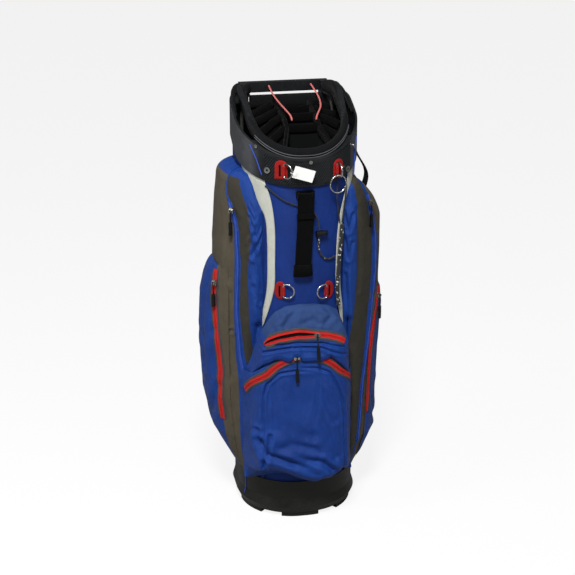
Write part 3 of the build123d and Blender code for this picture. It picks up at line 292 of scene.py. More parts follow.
@dataclass(frozen=True)
class Moulded:
    """Moulded plastic with a fine grain and rubbed patches."""

    name: str
    light: str
    dark: str
    grain: float = 700.0
    grain_depth: float = 0.00012
    rough: float = 0.5
    shine: float = 0.25
    # paler colours painted on a ring's sideways faces: painted sheen
    outside: tuple[str, str] | None = None

    def material(self) -> bpy.types.Material:
        """Build the plastic's material."""
        material, g = start_material(self.name)
        rubbed = place(g, "mottle", Scale=16.0)
        pebble = place(g, "grain", Scale=self.grain)
        colour = two_tone(g, rubbed.outputs["Mask"], tint(self.dark), tint(self.light))
        # Painted sheen: the faces of the ring that look out sideways are painted paler.
        if self.outside:
            sheen_colour = two_tone(g, rubbed.outputs["Mask"], tint(self.outside[1]), tint(self.outside[0]))
            colour = self.outer_skin(g, colour, sheen_colour)
        rough = g.math("MULTIPLY_ADD", rubbed.outputs["Mask"], 0.2, self.rough - 0.1)
        normal = bump(g, pebble.outputs["Height"], self.grain_depth)
        looks = {"Base Color": colour, "Roughness": rough, "Normal": normal}
        close_principled(g, {**looks, "Specular IOR Level": self.shine})
        return material

    @staticmethod
    def outer_skin(g: Graph, inner: Socket, sheen_colour: Socket) -> Socket:
        """Colour of a ring whose faces that look out sideways are painted paler: a painted sheen."""

        def vector_math(operation: str, *values, result: str = "Vector") -> Socket:
            return g.add("ShaderNodeVectorMath", dict(enumerate(values)), operation=operation).outputs[result]

        away = vector_math("NORMALIZE", vector_math("MULTIPLY", g.spot(), (1.0, 1.0, 0.0)))
        normal = g.add("ShaderNodeNewGeometry").outputs["Normal"]
        facing = vector_math("DOT_PRODUCT", away, normal, result="Value")
        behind = vector_math("DOT_PRODUCT", away, (0.0, 1.0, 0.0), result="Value")
        side = g.add("ShaderNodeMapRange", {"Value": behind, "From Min": -0.74, "From Max": -0.6})
        # mask of the painted sheen: faces that look out sideways, away from the front
        outside = g.math("MULTIPLY", g.math("GREATER_THAN", facing, 0.4), side.outputs["Result"])
        return two_tone(g, outside, inner, sheen_colour)


@dataclass(frozen=True)
class Plated:
    """Bright plated metal with fine handling marks."""

    name: str
    light: str
    dark: str
    rough: float = 0.2

    def material(self) -> bpy.types.Material:
        """Build the metal's material."""
        material, g = start_material(self.name)
        marks = place(g, "mottle", Scale=60.0)
        colour = two_tone(g, marks.outputs["Mask"], tint(self.dark), tint(self.light))
        rough = g.math("MULTIPLY_ADD", marks.outputs["Mask"], 0.16, self.rough - 0.06)
        close_principled(g, {"Base Color": colour, "Roughness": rough, "Metallic": 1.0})
        return material


@dataclass(frozen=True)
class Ribbed:
    """Dark sheet pressed into slanting ribs."""

    name: str
    light: str
    dark: str
    pitch: float = 4.2
    depth: float = 0.0012
    rough: float = 0.42

    def material(self) -> bpy.types.Material:
        """Build the ribbed sheet's material."""
        material, g = start_material(self.name)
        axes = g.add("ShaderNodeSeparateXYZ", {0: g.spot()}).outputs
        slant = g.math("SUBTRACT", g.math("MULTIPLY", axes[0], 0.82), g.math("MULTIPLY", axes[2], 0.57))
        wave = g.math("SINE", g.math("MULTIPLY", slant, 2 * math.pi / (self.pitch * MM)))
        height = g.math("MULTIPLY_ADD", wave, 0.5, 0.5)
        weave = place(g, "weave", Threads=1100.0)
        shade = g.math("MULTIPLY_ADD", height, 0.7, g.math("MULTIPLY", weave.outputs["Shade"], 0.3))
        colour = two_tone(g, shade, tint(self.dark), tint(self.light))
        normal = bump(g, height, self.depth)
        looks = {"Base Color": colour, "Roughness": self.rough, "Normal": normal}
        close_principled(g, {**looks, "Specular IOR Level": 0.15})
        return material


@dataclass(frozen=True)
class Braid:
    """Braided cord, with pale flecks where it has them."""

    name: str
    light: str
    dark: str
    flecks: float = 0.0
    fleck: str = "d8d6d0"
    thread_depth: float = 0.0006
    rough: float = 0.75

    def material(self) -> bpy.types.Material:
        """Build the braid's material."""
        material, g = start_material(self.name)
        weave = place(g, "weave", Threads=520.0)
        colour = two_tone(g, weave.outputs["Shade"], tint(self.dark), tint(self.light))
        if self.flecks:
            cells = g.add("ShaderNodeTexVoronoi", {"Vector": g.spot(), "Scale": 340.0})
            chance = g.add("ShaderNodeSeparateColor", {0: cells.outputs["Color"]}).outputs[0]
            lone = g.math("GREATER_THAN", chance, 1 - self.flecks)
            colour = two_tone(g, lone, colour, tint(self.fleck))
        normal = bump(g, weave.outputs["Height"], self.thread_depth)
        looks = {"Base Color": colour, "Roughness": self.rough, "Normal": normal}
        close_principled(g, {**looks, "Sheen Weight": 0.15})
        return material


FINISHES = (
    Cloth("nylon_blue", "114092", "092a6c", rough=0.5, rumple=0.0022),
    # darker copy of the blue nylon for the sleeve, which sits back behind the pockets: painted shade
    Cloth("nylon_blue_deep", "0d3484", "07225f", rough=0.5, rumple=0.0014),
    # paler, greyer copy of the blue nylon: painted highlight for the purse's top-lit dome
    Cloth("nylon_blue_worn", "2b477c", "193464", rough=0.58),
    Cloth("nylon_taupe", "5a5344", "40392e", rumple=0.0012),
    Cloth("strip_taupe", "3f3b31", "28261f", rumple=0.0014),
    Cloth("stripe_silver", "c8cabe", "a8aaa0", threads=700.0, rumple=0.0007),
    Cloth("zip_edge", "4a4c4f", "303235", threads=600.0, rumple=0.0003, thread_depth=0.0004),
    Cloth("zip_red", "cf221d", "a51512", threads=650.0, rumple=0.0002, thread_depth=0.0005),
    Cloth("zip_teeth", "b31b17", "8a100e", threads=650.0, rumple=0.0002),
    Cloth("web_red", "b01613", "7c0b0b", threads=520.0, rumple=0.0002, thread_depth=0.0006),
    Cloth("web_black", "090a0b", "040405", 480.0, 0.0006, rumple=0.0003, rough=0.8, gloss=0.06),
    Cloth("lining", "0b0c0d", "050606", rumple=0.001, rough=0.85, gloss=0.06),
    Cloth("plush", "070708", "030303", threads=1300.0, rumple=0.0012, rumple_scale=30.0, rough=0.9, gloss=0.06),
    Cloth("mesh_pad", "111214", "08090a", 420.0, 0.0007, rumple=0.0006, rough=0.7, gloss=0.12),
    Cloth("binding", "5c5f62", "424548", threads=500.0, rumple=0.0002),
    Cloth("piping_blue", "3d55b0", "24409a", threads=600.0, rumple=0.0003),
    Cloth("card", "f4f4f2", "e4e4e0", threads=200.0, thread_depth=0.00005, rumple=0.0, rough=0.55, sheen=0.0),
    Moulded("base_black", "1b1d16", "0d0e0a", rough=0.46, shine=0.32),
    # the collar's paler sides are a painted sheen
    Moulded("collar_black", "15171a", "090b0c", rough=0.38, shine=0.45, outside=("444649", "303235")),
    Moulded("handle_black", "15171a", "090b0c", rough=0.42, shine=0.35),
    Moulded("grab_grey", "1d2022", "0f1112", rough=0.4),
    Moulded("plastic_black", "141517", "08090a", rough=0.4),
    Moulded("foam", "2b2b2b", "191919", grain=300.0, grain_depth=0.0006, rough=0.9),
    Moulded("rod_grey", "4a4a48", "343432", rough=0.5),
    Plated("nickel", "d6d6d2", "a8a8a4"),
    Ribbed("rib_sheet", "24282b", "050607"),
    Braid("cord_black", "17181a", "090a0b"),
    Braid("cord_flecked", "161719", "08090a", flecks=0.11),
    Braid("cord_red", "dc7672", "b84a48"),
)
PAINT: dict[str, bpy.types.Material] = {}


def mix_paint() -> None:
    """Build the shared groups, then every finish."""
    GROUPS.update(weave=weave_group(), mottle=mottle_group(), rumple=rumple_group(), grain=grain_group())
    PAINT.update({finish.name: finish.material() for finish in FINISHES})


# Mesh making


def add_mesh(
    name: str,
    points: np.ndarray,
    faces: Sequence,
    paints: Sequence[str],
    slots: Sequence[int] | None = None,
) -> Piece:
    """Make a smooth mesh object.

    Args:
        name: the piece's name.
        points: corners in millimetres, one row each.
        faces: corner numbers of each face.
        paints: finishes of the piece's slots.
        slots: slot number of each face.

    Returns:
        The object, linked to the scene.
    """
    mesh = bpy.data.meshes.new(name)
    mesh.from_pydata((np.asarray(points).reshape(-1, 3) * MM).tolist(), [], [list(f) for f in faces])
    for paint in paints:
        mesh.materials.append(PAINT[paint])
    if slots is not None:
        mesh.polygons.foreach_set("material_index", np.asarray(slots, dtype=np.int32))
    mesh.polygons.foreach_set("use_smooth", [True] * len(mesh.polygons))
    mesh.update()
    piece = bpy.data.objects.new(name, mesh)
    bpy.context.scene.collection.objects.link(piece)
    return piece


def grid_faces(rows: int, cols: int, wrap: bool = False) -> list[tuple[int, int, int, int]]:
    """Quads of a grid of corners, row by row, closed across its columns if wrap."""
    faces = []
    for r in range(rows - 1):
        for c in range(cols if wrap else cols - 1):
            d = (c + 1) % cols
            faces.append((r * cols + c, r * cols + d, (r + 1) * cols + d, (r + 1) * cols + c))
    return faces


def thicken(piece: Piece, thick: float, paint_step: int = 0) -> None:
    """Give a sheet its thickness, behind its faces."""
    modifier = piece.modifiers.new("thickness", "SOLIDIFY")
    modifier.thickness = thick * MM
    modifier.offset = -1
    modifier.material_offset = paint_step
    modifier.material_offset_rim = paint_step
    bake(piece)


def bake(piece: Piece) -> None:
    """Apply a piece's modifiers to its mesh."""
    shaped = bpy.data.meshes.new_from_object(piece.evaluated_get(bpy.context.evaluated_depsgraph_get()))
    piece.modifiers.clear()
    piece.data = shaped


def rounded(piece: Piece) -> None:
    """Subdivide a piece smoothly, once."""
    modifier = piece.modifiers.new("round", "SUBSURF")
    modifier.levels = modifier.render_levels = 1
    bake(piece)


def resample(path: Sequence[Point], count: int) -> np.ndarray:
    """Points at even steps along a polyline."""
    path = np.asarray(path, dtype=float)
    steps = np.r_[0, np.cumsum(np.linalg.norm(np.diff(path, axis=0), axis=1))]
    at = np.linspace(0, steps[-1], count)
    return np.stack([np.interp(at, steps, path[:, k]) for k in range(path.shape[1])], axis=1)


def flow(points: Sequence[Point], per_span: int = 12) -> np.ndarray:
    """Smooth line through points, as a Catmull-Rom curve."""
    p = np.asarray(points, dtype=float)
    p = np.vstack([2 * p[0] - p[1], p, 2 * p[-1] - p[-2]])
    t = np.linspace(0, 1, per_span, endpoint=False)[:, None]
    spans = []
    for a, b, c, d in zip(p, p[1:], p[2:], p[3:]):
        square, cube = 2 * a - 5 * b + 4 * c - d, 3 * b - a - 3 * c + d
        spans.append(0.5 * (2 * b + (c - a) * t + square * t**2 + cube * t**3))
    return np.vstack([*spans, p[-2:-1]])


def sweep(
    name: str,
    line: np.ndarray,
    section: Callable[[float], np.ndarray],
    paint: str,
    up: Point = UPWARD,
) -> Piece:
    """Carry a closed section along a line and cap both ends.

    Args:
        name: the piece's name.
        line: stations in millimetres.
        section: closed outline at a fraction of the line, as offsets across and upwards.
        paint: finish of the piece.
        up: the section's upward direction.

    Returns:
        The swept piece.
    """
    along = np.gradient(line, axis=0)
    along /= np.linalg.norm(along, axis=1)[:, None]
    across = np.cross(along, np.asarray(up, dtype=float))
    across /= np.linalg.norm(across, axis=1)[:, None]
    rise = np.cross(across, along)
    rings = []
    for spot, side, lift, t in zip(line, across, rise, np.linspace(0, 1, len(line))):
        outline = section(t)
        rings.append(spot + outline[:, :1] * side + outline[:, 1:] * lift)
    count = len(rings[0])
    faces = grid_faces(len(rings), count, wrap=True)
    faces += [tuple(range(count))[::-1], tuple(range((len(rings) - 1) * count, len(rings) * count))]
    return add_mesh(name, np.vstack(rings), faces, [paint])


def tube(name: str, line: np.ndarray, radius: float, paint: str, up: Point = UPWARD) -> Piece:
    """Round tube along a line."""
    turn = np.linspace(0, 2 * math.pi, 8, endpoint=False)
    ring = radius * np.stack([np.cos(turn), np.sin(turn)], axis=1)
    return sweep(name, line, lambda t: ring, paint, up)


def oblong(half_wide: float, half_high: float, power: float = 4.0, sides: int = 20) -> np.ndarray:
    """Closed outline between an ellipse and a rectangle."""
    turn = np.linspace(0, 2 * math.pi, sides, endpoint=False)
    bend = lambda v: np.sign(v) * np.abs(v) ** (2 / power)
    return np.stack([half_wide * bend(np.cos(turn)), half_high * bend(np.sin(turn))], axis=1)


def paint_node(node: str, paint: str) -> None:
    """Give a CAD node's own mesh a finish."""
    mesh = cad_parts[node].data
    mesh.materials.clear()
    mesh.materials.append(PAINT[paint])


def settle(piece: Piece, slot: str, *nodes: str, body: str = ROOT) -> None:
    """Put a piece on its body in place of CAD nodes."""
    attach(piece, body)
    if nodes:
        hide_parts(*nodes)
    log.info("%s: %d faces on %s", piece.name, len(piece.data.polygons) if piece.type == "MESH" else 0, body)


def settle_padded(piece: Piece, slot: str, *nodes: str, give: float = 0.8, body: str = ROOT) -> None:
    """Settle a padded piece."""
    settle(piece, slot, *nodes, body=body)


def ramp(value: np.ndarray, low: float, high: float) -> np.ndarray:
    """Smooth step from 0 at low to 1 at high."""
    t = np.clip((np.asarray(value, dtype=float) - low) / (high - low), 0, 1)
    return t * t * (3 - 2 * t)


def ripple(points: np.ndarray, scale: float, seed: float = 0.0) -> np.ndarray:
    """Smooth noise at points, from about -1 to 1, with waves about scale millimetres long."""
    flat = np.asarray(points).reshape(-1, 3) / scale + seed
    return np.array([noise.noise(Vector(p)) for p in flat]).reshape(np.asarray(points).shape[:-1])


@dataclass(frozen=True)
class Fold:
    """A crease across a soft face: a line in the face's own flat coordinates, with a depth and a width."""

    line: tuple[tuple[float, float], ...]
    depth: float
    width: float
    ridge: float = 0.9

    def height(self, flat: np.ndarray) -> np.ndarray:
        """Displacement along the face's normal at flat coordinates."""
        best = np.full(flat.shape[:-1], 1e9)
        for a, b in zip(self.line, self.line[1:]):
            a, b = np.asarray(a, dtype=float), np.asarray(b, dtype=float)
            t = np.clip(((flat - a) @ (b - a)) / ((b - a) @ (b - a)), 0, 1)
            best = np.minimum(best, np.linalg.norm(flat - (a + t[..., None] * (b - a)), axis=-1))
        valley = np.exp(-((best / self.width) ** 2))
        ridge = np.exp(-(((best - 2.1 * self.width) / (1.2 * self.width)) ** 2))
        return self.depth * (self.ridge * ridge - 1.5 * valley)


def grid_normals(points: np.ndarray) -> np.ndarray:
    """Normals of a grid of points."""
    n = np.cross(np.gradient(points, axis=1), np.gradient(points, axis=0))
    return n / np.maximum(np.linalg.norm(n, axis=2), 1e-9)[..., None]


# Sleeve


@dataclass(frozen=True)
class Plan:
    """The sleeve's outline seen from above, shared by everything that lies on the bag."""

    half: float = 126.0
    front: float = 126.0
    rear: float = 114.0
    front_radius: float = 118.0
    rear_radius: float = 70.0

    def outline(self, grow: float = 0.0) -> np.ndarray:
        """Right half of the outline, from the front's middle to the rear's middle."""
        fr, rr = self.front_radius + grow, self.rear_radius + grow
        fc = np.array([self.half - self.front_radius, self.front_radius - self.front])
        rc = np.array([self.half - self.rear_radius, self.rear - self.rear_radius])
        a = np.radians(np.linspace(-90, 0, 60))
        b = np.radians(np.linspace(0, 90, 50))
        front = fc + fr * np.stack([np.cos(a), np.sin(a)], axis=1)
        rear = rc + rr * np.stack([np.cos(b), np.sin(b)], axis=1)
        return np.vstack([(0.0, -self.front - grow), front, rear, (0.0, self.rear + grow)])

    def front_y(self, x: float | np.ndarray, lift: float = 0.0) -> float | np.ndarray:
        """How far forward the sleeve is at x, on its front."""
        flat = self.half - self.front_radius
        radius = self.front_radius + lift
        side = np.clip(np.maximum(np.abs(x) - flat, 0), 0, radius)
        return self.front_radius - self.front - np.sqrt(radius**2 - side**2)

    def on_front(self, x: float, z: float, lift: float = 0.0) -> np.ndarray:
        """A point on the front, at a lift off the cloth."""
        return np.array([x, float(self.front_y(x, lift)), z])

    def normal(self, x: float) -> np.ndarray:
        """Outward direction of the front at x."""
        flat = self.half - self.front_radius
        side = math.copysign(max(abs(x) - flat, 0), x) / self.front_radius
        return np.array([side, -math.sqrt(max(1 - side * side, 0)), 0])


PLAN = Plan()


COLLAR_EDGE, COLLAR_SLOPE = 821, 0.4
RIM_MIDDLE, RIM_SLOPE, RIM_BEND = 908, 0.40667, 0.00111


def collar_bottom(y: np.ndarray) -> np.ndarray:
    """Heights of the collar's lower edge at depths."""
    return COLLAR_EDGE + COLLAR_SLOPE * y


def rim_height(y: np.ndarray) -> np.ndarray:
    """Heights of the mouth's rim at depths."""
    return RIM_MIDDLE + RIM_SLOPE * y - RIM_BEND * y * y


def front_route(spots: Sequence[Point], lift: float = 3.2) -> tuple[Point, ...]:
    """Route over the front from x and height, with a lift of its own where a spot has a third number."""
    return tuple(tuple(PLAN.on_front(*spot[:2], *(spot[2:] or (lift,)))) for spot in spots)


def bvh_of(piece: Piece) -> BVHTree:
    """Search tree over a piece's faces, in metres."""
    corners = [corner.co.copy() for corner in piece.data.vertices]
    return BVHTree.FromPolygons(corners, [list(face.vertices) for face in piece.data.polygons])


@dataclass
class Sleeve:
    """The cloth tube and its pale stripes."""

    low: float = 36.0
    overlap: float = 22.0
    spine_from: float = 86.0
    cols: int = 200
    rows: int = 110
    thick: float = 2.2

    def build(self) -> None:
        """Build the tube with a dark lining, and the stripes on it."""
        half = PLAN.outline()
        ring = np.vstack([half, half[-2:0:-1] * [-1, 1]])
        ring = resample(np.vstack([ring, ring[:1]]), self.cols + 1)[:-1]
        top = collar_bottom(ring[:, 1]) + self.overlap
        share = np.linspace(0, 1, self.rows)[:, None]
        z = self.low + share * (top - self.low)
        points = np.dstack([np.tile(ring[:, k], (self.rows, 1)) for k in (0, 1)] + [z])
        out = np.stack([ring[:, 0] / PLAN.half, ring[:, 1] / PLAN.front], axis=1)
        out /= np.linalg.norm(out, axis=1)[:, None]
        wave = 0.7 * ripple(points * [1, 1, 0.5], 45.0) - 0.5
        points[..., :2] += wave[..., None] * out[None]
        slots = np.tile(np.where(ring[:, 1] > self.spine_from, 2, 0), self.rows - 1)
        faces = grid_faces(self.rows, self.cols, wrap=True)
        # The sleeve's blue is a darker copy of the pockets' nylon: painted shade.
        paints = ["nylon_blue_deep", "lining", "nylon_taupe", "lining"]
        cloth = add_mesh("sleeve_cloth", points, faces, paints, slots)
        thicken(cloth, self.thick, paint_step=1)
        settle(cloth, "nylon_blue", "front_panel", "left_side_panel", "right_side_panel", "spine_panel")
        self.stripes()

    def stripes(self) -> None:
        """Lay both pale stripes on the front."""
        edges = {
            Side.LEFT: (
                ((-121, 800), (-116, 770), (-102, 735), (-83, 703))
                + ((-78, 651), (-79, 541), (-92, 470), (-100, 437)),
                ((-92, 800), (-80, 770), (-69, 730), (-63, 674))
                + ((-63, 600), (-65, 541), (-82, 470), (-94, 437)),
            ),
            Side.RIGHT: (
                ((98, 800), (91, 752), (78, 705), (71, 660), (68, 600), (69, 531), (80, 470), (92, 437)),
                ((117, 800), (107, 752), (92, 714), (82, 670), (79, 600), (81, 531), (90, 470), (98, 437)),
            ),
        }
        cols = 7
        lifts = [1.0 + 0.5 * math.sin(math.pi * k / (cols - 1)) for k in range(cols)]
        for side, (first, last) in edges.items():
            rows = []
            for p, q in zip(flow(first, 10), flow(last, 10)):
                spots = np.linspace(p, q, cols)
                rows.append([PLAN.on_front(x, z, lift) for (x, z), lift in zip(spots, lifts)])
            faces = grid_faces(len(rows), cols)
            stripe = add_mesh(f"{side.word}_stripe", np.array(rows), faces, ["stripe_silver"])
            thicken(stripe, 0.9)
            settle(stripe, "stripe_silver", "silver_stripes")


# Side pockets


@dataclass(frozen=True)
class Profile:
    """A size that changes along a line of stations."""

    stations: tuple[float, ...]
    sizes: tuple[float, ...]

    def at(self, where: np.ndarray | float) -> np.ndarray | float:
        """The size at a place among the stations."""
        return np.interp(where, self.stations, self.sizes)


def along(line: np.ndarray, share: np.ndarray) -> np.ndarray:
    """Points at shares of an evenly spaced line."""
    at = np.clip(share, 0, 1) * (len(line) - 1)
    index = np.arange(len(line))
    return np.stack([np.interp(at, index, line[:, k]) for k in range(line.shape[1])], axis=-1)


def share_of_x(line: np.ndarray, x: np.ndarray) -> np.ndarray:
    """Share of a plan line at a distance from the bag's middle, on the part that faces the front."""
    ahead = int(np.argmax(line[:, 0])) + 1
    return np.interp(x, line[:ahead, 0], np.arange(ahead) / (len(line) - 1))


def column_shares(knots: np.ndarray, counts: Sequence[int]) -> np.ndarray:
    """Shares of a grid's columns, row by row, with even steps between the seams.

    Args:
        knots: shares of the seams, one row for each row of the grid.
        counts: columns between each two seams.

    Returns:
        One share for each corner of the grid.
    """
    strips = []
    for k, count in enumerate(counts):
        strips.append(knots[:, [k]] + (knots[:, [k + 1]] - knots[:, [k]]) * np.arange(count) / count)
    return np.hstack([*strips, knots[:, -1:]])


def nearest_station(line: np.ndarray, point: Point) -> int:
    """Number of a line's station nearest to a point."""
    return int(np.argmin(np.linalg.norm(line - point, axis=1)))


def sew(
    name: str,
    points: np.ndarray,
    paints: Sequence[str],
    slots: np.ndarray | None,
    slot: str,
    node: str,
    flip: bool = False,
) -> Piece:
    """slot: a slot name for the piece, not used.
        node: the CAD node that it replaces.
        flip: whether the grid runs the other way round.

    Returns:
        The pocket's cloth.
    """
    faces = grid_faces(*points.shape[:2])
    if flip:
        faces = [face[::-1] for face in faces]
    cloth = add_mesh(name, points, faces, paints, slots)
    rounded(cloth)
    settle(cloth, slot, node)
    return cloth


HIP_FRONT, HIP_REAR = (157, -67), (153, 78)


@dataclass
class TallPocket:
    """Long garment pocket down one side: a gusset, a strip, a rolled welt and a bellied panel."""

    side: Side
    full: float
    reach: Profile
    spring: Profile
    crest: Profile
    seams: tuple[Profile, Profile, Profile]
    cap: float = 1.0
    pouch_top: float = 577.0
    folds: tuple[Fold, ...] = ()
    rows: int = 220
    low: float = 84.0
    seam_top: float = 765.0
    sink: float = 5.0
    counts: tuple[int, ...] = (26, 14, 8, 50)
    swells: tuple[float, ...] = (0.8, 2.0, 2.6, 1.2)
    cloth: Piece | None = field(default=None, init=False)
    path: np.ndarray = field(default=None, init=False)
    seam: np.ndarray = field(default=None, init=False)
    welt: np.ndarray = field(default=None, init=False)

    def __post_init__(self) -> None:
        """Work out the pocket's plan line and the seam line behind it, on the right-hand side."""
        r = self.full
        corners = [(86, -97), (97, -104.5), (108, -103.5), (138, -81.5), (163, -62), (r - 5, -40), (r, -10)]
        corners += [(r, 40), (r - 14, 62), (150, 79), (122, 88), (107, 93)]
        self.path = resample(flow(corners, 14), 140)
        outline = PLAN.outline(1.5)
        start, end = (nearest_station(outline, p) for p in (corners[0], corners[-1]))
        self.seam = resample(outline[start : end + 1], len(self.path))

    def fullness(self, flat: np.ndarray, z: np.ndarray) -> np.ndarray:
        """How far the pocket stands out at a height, from 0 on the sleeve to 1 on its plan line."""
        spring, crest = self.spring.at(flat[..., 0]), self.crest.at(flat[..., 0])
        behind = ramp(flat[..., 1], 20, 95)
        spring = spring * (1 - behind) + (self.spring.sizes[-1] - 20) * behind
        roof = np.clip((crest - z) / np.maximum(crest - spring, 1), 0, 1)
        belly = (self.reach.at(z) - PLAN.half) / (self.full - PLAN.half)
        return np.sqrt(1 - (1 - roof) ** 2.2) * belly

    def surface(self, share: np.ndarray, z: np.ndarray) -> np.ndarray:
        """Points of the pocket at shares of its plan line and heights, before its folds."""
        path, seam = along(self.path, share), along(self.seam, share)
        flat = seam + self.fullness(path, z)[..., None] * (path - seam)
        return np.concatenate([flat, np.asarray(z)[..., None]], axis=-1)

    def build(self) -> None:
        """Build the pocket's cloth with its strips, welt and folds."""
        rise = np.linspace(0, 1, self.rows)
        level = self.low + rise * (self.seam_top - self.low)
        cuts = [share_of_x(self.path, seam.at(level)) for seam in self.seams]
        knots = np.column_stack([np.zeros(self.rows), *cuts, np.ones(self.rows)])
        share = column_shares(knots, self.counts)
        crest = self.crest.at(along(self.path, share)[..., 0])
        z = self.low + rise[:, None] * (crest - self.low)
        points = self.surface(share, z)
        length = np.linalg.norm(np.diff(self.path, axis=0), axis=1).sum()
        flat = np.dstack([share * length, z])
        puff = 1.2 * ripple(points * [1, 1, 0.6], 60.0, 3.0) + 0.6 * ripple(points, 22.0, 9.0)
        for fold in self.folds:
            puff += fold.height(flat)
        column = np.arange(share.shape[1])
        marks = np.cumsum([0, *self.counts])
        swell = np.zeros(len(column))
        for a, b, lift in zip(marks, marks[1:], self.swells):
            swell[a : b + 1] = lift * np.sin(np.linspace(0, math.pi, b - a + 1))
        puff += swell * ramp(z, 95, 150)
        on_welt = (column >= marks[2]) & (column <= marks[3])
        puff += np.where(on_welt, 0.9 * ripple(points * [1, 1, 0.35], 6.0, 1.0), 0)
        first, last = (nearest_station(self.path, p) / len(self.path) for p in (HIP_FRONT, HIP_REAR))
        beneath = ramp(share, first + 0.02, first + 0.06) * (1 - ramp(share, last - 0.06, last - 0.02))
        puff -= self.sink * beneath * (1 - ramp(z, self.pouch_top - 30, self.pouch_top - 12))
        puff *= np.minimum(1, np.minimum(column, column[::-1]) / 4)
        points = points + grid_normals(points) * puff[..., None]
        points[..., 0] *= self.side.value
        self.welt = points[:, (marks[2] + marks[3]) // 2]
        strips = np.select([column < marks[1], column < marks[2], column < marks[3]], [0, 2, 0], 1)
        slots = np.where(rise[:, None] > self.cap, 0, strips)[:-1, :-1].ravel()
        word, flip = self.side.word, self.side is Side.RIGHT
        name, node = f"{word}_tall_pocket_cloth", f"{word}_apparel_pocket"
        paints = ["nylon_blue", "nylon_taupe", "strip_taupe"]
        self.cloth = sew(name, points, paints, slots, "nylon_taupe", node, flip)


@dataclass
class HipPocket:
    """Bellied accessory pocket low on the side: a taupe front, a curved zip and a blue pouch behind it."""

    tall: TallPocket
    full: float
    reach: Profile
    zip_at: Profile
    zip_ends: tuple[float, float]
    folds: tuple[Fold, ...] = ()
    low: float = 96.0
    plan_height: float = 450.0
    rows: int = 120
    counts: tuple[int, int] = (16, 50)
    cloth: Piece | None = field(default=None, init=False)
    zip_line: np.ndarray = field(default=None, init=False)

    def build(self) -> None:
        """Build the pocket's cloth."""
        r, tall = self.full, self.tall
        plan = [HIP_FRONT, (170, -57), (r - 14, -31), (r - 3, -8), (r, 14), (r, 44)]
        plan += [(r - 10, 62), (182, 74), HIP_REAR]
        line = resample(flow(plan, 12), 140)
        first, last = (nearest_station(tall.path, p) / (len(tall.path) - 1) for p in (line[0], line[-1]))
        level = np.linspace(self.low, self.reach.stations[-1], self.rows)
        cut = share_of_x(line, self.zip_at.at(level))
        share = column_shares(np.column_stack([np.zeros_like(cut), cut, np.ones_like(cut)]), self.counts)
        z = np.tile(level[:, None], (1, share.shape[1]))
        under = first + share * (last - first)
        points = tall.surface(under, z)
        part = (self.reach.at(z) - tall.reach.at(z)) / (r - tall.full)
        out = along(line, share) - tall.surface(under, np.full_like(z, self.plan_height))[..., :2]
        points[..., :2] += np.clip(part, 0.02, 1.2)[..., None] * out
        length = np.linalg.norm(np.diff(line, axis=0), axis=1).sum()
        flat = np.dstack([share * length, z])
        puff = 1.5 * ripple(points * [1, 1, 0.6], 55.0, 5.0) + 0.6 * ripple(points, 20.0, 2.0) + 0.6
        for fold in self.folds:
            puff += fold.height(flat)
        across = np.abs(2 * share - 1)
        puff *= np.clip((1 - across) * 8, 0, 1) * ramp(z, self.low, self.low + 30)
        points = points + grid_normals(points) * puff[..., None]
        points[..., 0] *= tall.side.value
        inside = (level > self.zip_ends[0]) & (level < self.zip_ends[1])
        self.zip_line = points[inside, self.counts[0]]
        slots = np.tile(np.repeat([1, 0], self.counts), self.rows - 1)
        word, flip = tall.side.word, tall.side is Side.RIGHT
        name, node, onto = (f"{word}_{end}" for end in ("hip_pocket_cloth", "accessory_pocket", "apparel_pocket"))
        paints = ["nylon_blue", "nylon_taupe"]
        self.cloth = sew(name, points, paints, slots, "nylon_taupe", node, flip)


LEFT_TALL = TallPocket(
    Side.LEFT,
    full=178.0,
    reach=Profile((84, 96, 143, 182, 270, 400, 620, 711, 773), (129, 134, 154, 163, 172, 175, 174, 168, 161)),
    spring=Profile((86, 102, 116, 133, 165, 180), (650, 676, 712, 738, 760, 770)),
    crest=Profile((86, 102, 116, 133, 165, 180), (711, 733, 764, 786, 791, 793)),
    seams=(
        Profile(
            (84, 245, 320, 370, 470, 580, 624, 668, 700, 715, 725, 745, 765),
            (106, 106, 108, 112, 117, 119, 114, 112, 116, 119, 130, 141, 145),
        ),
        Profile(
            (84, 245, 320, 370, 470, 580, 606, 649, 680, 694, 713, 742, 765),
            (106.5, 107, 112, 126, 136, 132, 134, 136, 144, 149.5, 163, 166, 166),
        ),
        Profile(
            (84, 145, 245, 320, 370, 470, 580, 606, 649, 680, 694, 713, 742, 765),
            (148, 144, 140, 140, 144, 147, 144, 144, 147, 155, 159.5, 166, 167, 167),
        ),
    ),
    cap=0.98,
    folds=(
        Fold(((11, 727), (22, 709), (32, 726)), 1.6, 2.6),
        Fold(((9, 718), (22, 692), (35, 716)), 2.0, 2.8),
        Fold(((8, 704), (20, 674), (34, 700)), 1.9, 3.0),
        Fold(((6, 682), (17, 656), (30, 684)), 1.7, 3.0),
        Fold(((1, 700), (14, 674), (31, 646)), 1.8, 3.2),
        Fold(((2, 664), (16, 638), (30, 616)), 1.8, 3.6),
        Fold(((28, 640), (17, 604), (8, 566), (4, 540)), 2.2, 5.0),
        Fold(((25, 596), (15, 552), (7, 512)), 1.8, 4.5),
        Fold(((3, 470), (14, 500), (24, 548)), 1.6, 4.5),
        Fold(((30, 60), (30, 300), (24, 400), (16, 450)), 9.0, 13.0, 0.0),
        Fold(((78, 438), (92, 433), (108, 440)), 1.8, 3.4),
        Fold(((84, 520), (90, 440), (88, 330)), 1.2, 8.0),
        Fold(((70, 690), (84, 640), (88, 560)), 1.2, 9.0),
    ),
)
